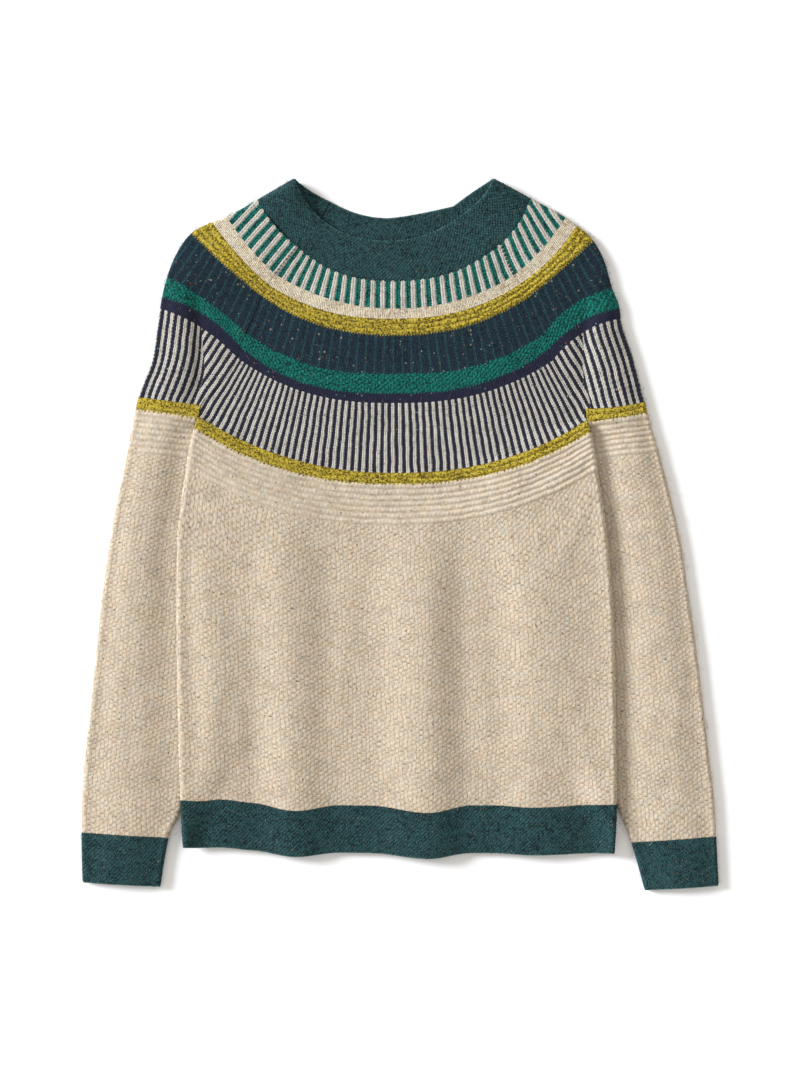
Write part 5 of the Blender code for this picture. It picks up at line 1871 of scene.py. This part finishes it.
def make_scatter_tree(name, make_shape):
    tree, given, leave = new_geometry_tree(name, SCATTER_INPUTS)
    normal = add_node(tree, "GeometryNodeInputNormal")
    split = tree.nodes.new("ShaderNodeSeparateXYZ")
    tree.links.new(normal, split.inputs[0])
    upwards = split.outputs["Z"]
    density = add_node(tree, "ShaderNodeMapRange",
                       {"Value": upwards, "From Min": SIDE_FACE, "From Max": TOP_FACE,
                        "To Min": given["Density at sides"], "To Max": given["Density on top"]})
    kind = add_node(tree, "GeometryNodeInputNamedAttribute", {"Name": "fluff"}, data_type="INT")
    right_kind = add_node(tree, "FunctionNodeCompare", {"A": kind, "B": given["Kind"]},
                          data_type="INT", operation="EQUAL")
    not_down = add_node(tree, "FunctionNodeCompare", {"A": upwards, "B": FACES_DOWN},
                        data_type="FLOAT", operation="GREATER_THAN")
    chosen = tree.nodes.new("FunctionNodeBooleanMath")
    tree.links.new(right_kind, chosen.inputs[0])
    tree.links.new(not_down, chosen.inputs[1])
    spread = tree.nodes.new("GeometryNodeDistributePointsOnFaces")
    for title, socket in (("Mesh", given["Geometry"]), ("Selection", chosen.outputs[0]), ("Density", density),
                          ("Seed", given["Seed"])):
        tree.links.new(socket, spread.inputs[title])
    size = random_number(tree, given["Smallest"], given["Largest"], 1)
    stood = add_node(tree, "GeometryNodeInstanceOnPoints",
                     {"Points": spread.outputs["Points"], "Instance": make_shape(tree),
                      "Rotation": spread.outputs["Rotation"], "Scale": size})
    spin = turned_by(tree, random_number(tree, (-0.5, -0.5, 0.0), (0.5, 0.5, 2 * math.pi), 2, "FLOAT_VECTOR"))
    turned = add_node(tree, "GeometryNodeRotateInstances", {"Instances": stood, "Rotation": spin})
    finish_tree(tree, turned, random_number(tree, 0.0, 1.0, 3), given, leave)
    return tree


FIBRE_TREE = make_scatter_tree("Fibres on cloth", fibre_shape)
NEP_TREE = make_scatter_tree("Neps on cloth", nep_shape)
print("scatter inputs:", ", ".join(row[0] for row in SCATTER_INPUTS))

# %% Scatter the fibres and the neps
Scatter = namedtuple("Scatter", "name tree kind on_top at_sides smallest largest seed slot")
SCATTERS = [
    Scatter("cream_strands", FIBRE_TREE, CREAM_FLUFF, 9000.0, 120000.0, 0.004, 0.009, 21, "knit"),
    Scatter("band_strands", FIBRE_TREE, BAND_FLUFF, 12000.0, 120000.0, 0.004, 0.008, 22, "knit"),
    Scatter("welt_strands", FIBRE_TREE, WELT_FLUFF, 20000.0, 160000.0, 0.002, 0.005, 23, "welt"),
    Scatter("cream_neps", NEP_TREE, CREAM_FLUFF, 700.0, 700.0, 0.0003, 0.0007, 24, "knit"),
    Scatter("band_neps", NEP_TREE, BAND_FLUFF, 1500.0, 1500.0, 0.0003, 0.0007, 25, "knit"),
    Scatter("welt_neps", NEP_TREE, WELT_FLUFF, 5000.0, 5000.0, 0.0003, 0.0007, 26, "welt"),
]
SHOWN = ["front_panel", "left_sleeve", "right_sleeve", "front_hem", "left_cuff", "right_cuff",
         "front_neckband", "back_neckband", "left_neckband", "right_neckband"]
for row in SCATTERS:
    grow(row.name, row.tree, [pieces[node].data for node in SHOWN],
         {"Kind": row.kind, "Density on top": row.on_top, "Density at sides": row.at_sides,
          "Smallest": row.smallest, "Largest": row.largest, "Seed": row.seed, "Material": STRANDS[row.name]})

# %% [markdown]
# ## Stitches along an edge
#
# Every free edge is cast off: a row of slanting stitches, one to each loop of the last course.
# Where the collar's raglan seams cross the green stripes, the linking stitches lie on top and
# show as a little ladder. Both follow a line, so one tree walks along it at an even spacing.

# %% The line tree
LINE_INPUTS = [("Spacing", NUMBER, 0.004), ("Size", VECTOR, (0.002, 0.001, 0.001)),
               ("Slant", NUMBER, 0.4), ("Seed", WHOLE, 1), ("Material", MATERIAL, None)]
CLOSEST = 0.2            # millimetres between two points of a line


def make_line_tree():
    """Stitches of two tones in turn, laid along a line at a slant."""
    tree, given, leave = new_geometry_tree("Stitches along a line", LINE_INPUTS)
    line = add_node(tree, "GeometryNodeMeshToCurve", {"Mesh": given["Geometry"]})
    even = add_node(tree, "GeometryNodeResampleCurve", {"Curve": line, "Length": given["Spacing"]},
                    mode="LENGTH")
    tangent = add_node(tree, "GeometryNodeInputTangent")
    along = add_node(tree, "FunctionNodeAlignRotationToVector", {"Vector": tangent}, axis="X")
    join = tree.nodes.new("ShaderNodeCombineXYZ")
    tree.links.new(given["Slant"], join.inputs["Z"])
    slanted = add_node(tree, "FunctionNodeRotateRotation",
                       {"Rotation": along, "Rotate By": turned_by(tree, join.outputs[0])},
                       rotation_space="LOCAL")
    stitch = add_node(tree, "GeometryNodeMeshIcoSphere", {"Radius": 1.0, "Subdivisions": 2})
    stood = add_node(tree, "GeometryNodeInstanceOnPoints",
                     {"Points": even, "Instance": stitch, "Rotation": slanted, "Scale": given["Size"]})
    index = Wire(tree, add_node(tree, "GeometryNodeInputIndex"))
    unlike = Wire(tree, random_number(tree, 0.0, 0.49, given["Seed"]))
    tone = index.math("MODULO", 2.0).math("MULTIPLY_ADD", 0.5, unlike)
    finish_tree(tree, stood, tone.socket, given, leave)
    return tree


LINE_TREE = make_line_tree()


def line_mesh(points):
    """A mesh of edges only, through points in millimetres, without doubled ones."""
    kept = [points[0]]
    for point in points[1:]:
        if np.linalg.norm(point - kept[-1]) > CLOSEST:
            kept.append(point)
    mesh = bpy.data.meshes.new("line")
    mesh.from_pydata((np.array(kept) * MM).tolist(), [(i, i + 1) for i in range(len(kept) - 1)], [])
    return mesh


print("line inputs:", ", ".join(row[0] for row in LINE_INPUTS))

# %% Cast-off edges and the two linking ladders
free_edges = [laid.points[FREE_ROW[laid.free]] for laid in LAID.values() if laid.free]
grow("cast_off_stitches", LINE_TREE, [line_mesh(edge) for edge in free_edges],
     {"Spacing": WELT_STITCH / 2 * MM, "Size": (1.5 * MM, 0.95 * MM, 1.2 * MM), "Slant": 0.6, "Seed": 31,
      "Material": STRANDS["welt_strands"]})

front = LAID["front_panel"]
green_rows = [i for i, span in enumerate(front.spans) if span.zone.name == "green_stripes"]
LADDER_RISE = np.array([0.0, 0.0, 0.7])      # the linking stitches lie on the two pieces
ladders = [line_mesh(front.outer[green_rows, side] + LADDER_RISE) for side in (0, -1)]
grow("linking_ladders", LINE_TREE, ladders,
     {"Spacing": 2.0 * MM, "Size": (0.5 * MM, 1.7 * MM, 0.5 * MM), "Slant": 0.25, "Seed": 32,
      "Material": STRANDS["link_stitches"]})
print("triangles in all:", sum(TRIANGLES.values()))

# %% [markdown]
# ## Floor and light
#
# A plain pale floor and one broad, low, far light from the upper left give the folds their
# shade and a soft shadow on the lower right. A far light keeps the floor evenly lit from edge
# to edge. The light is a little cool and the even surround a little warm, so that the shaded
# side of each fold is the warmer one.

# %% Floor, lights and colour
FLOOR_DROP = 0.3 * MM
FLOOR_REACH = 40.0           # metres, so that its far edge stays out of a low view
FLOOR_COLOUR = (0.92, 0.93, 0.95)
COOL_LIGHT, WARM_SURROUND = (0.95, 0.985, 1.03), (1.0, 0.955, 0.89)
SURROUND_STRENGTH = 0.757


def make_floor():
    mesh = bpy.data.meshes.new("floor")
    corners = [(x * FLOOR_REACH, y * FLOOR_REACH, -FLOOR_DROP)
               for x, y in ((-1, -1), (1, -1), (1, 1), (-1, 1))]
    mesh.from_pydata(corners, [], [(0, 1, 2, 3)])
    material, _, shader = new_material("floor", 0.9, 0.1)
    shader.inputs["Base Color"].default_value = (*FLOOR_COLOUR, 1.0)
    mesh.materials.append(material)
    floor = add_object("floor", mesh)


def make_sun(name, azimuth, height, spread, strength):
    """A far soft light. azimuth is where it stands, counter-clockwise from +X. All in degrees."""
    data = bpy.data.lights.new(name, "SUN")
    data.angle = math.radians(spread)
    data.energy = strength
    data.color = COOL_LIGHT
    light = add_object(name, data)
    turn, tilt = math.radians(azimuth), math.radians(height)
    light.location = (math.cos(turn) * math.cos(tilt), math.sin(turn) * math.cos(tilt), math.sin(tilt))
    light.rotation_euler = (-light.location).to_track_quat("-Z", "Y").to_euler()


make_floor()
make_sun("key", azimuth=160.0, height=22.0, spread=20.0, strength=5.3)
world = bpy.data.worlds.new("studio")
world.use_nodes = True
surround = world.node_tree.nodes["Background"]
surround.inputs["Color"].default_value = (*WARM_SURROUND, 1.0)
surround.inputs["Strength"].default_value = SURROUND_STRENGTH
bpy.context.scene.world = world
bpy.context.scene.view_settings.view_transform = "Standard"
print("lights:", [o.name for o in bpy.data.objects if o.type == "LIGHT"])
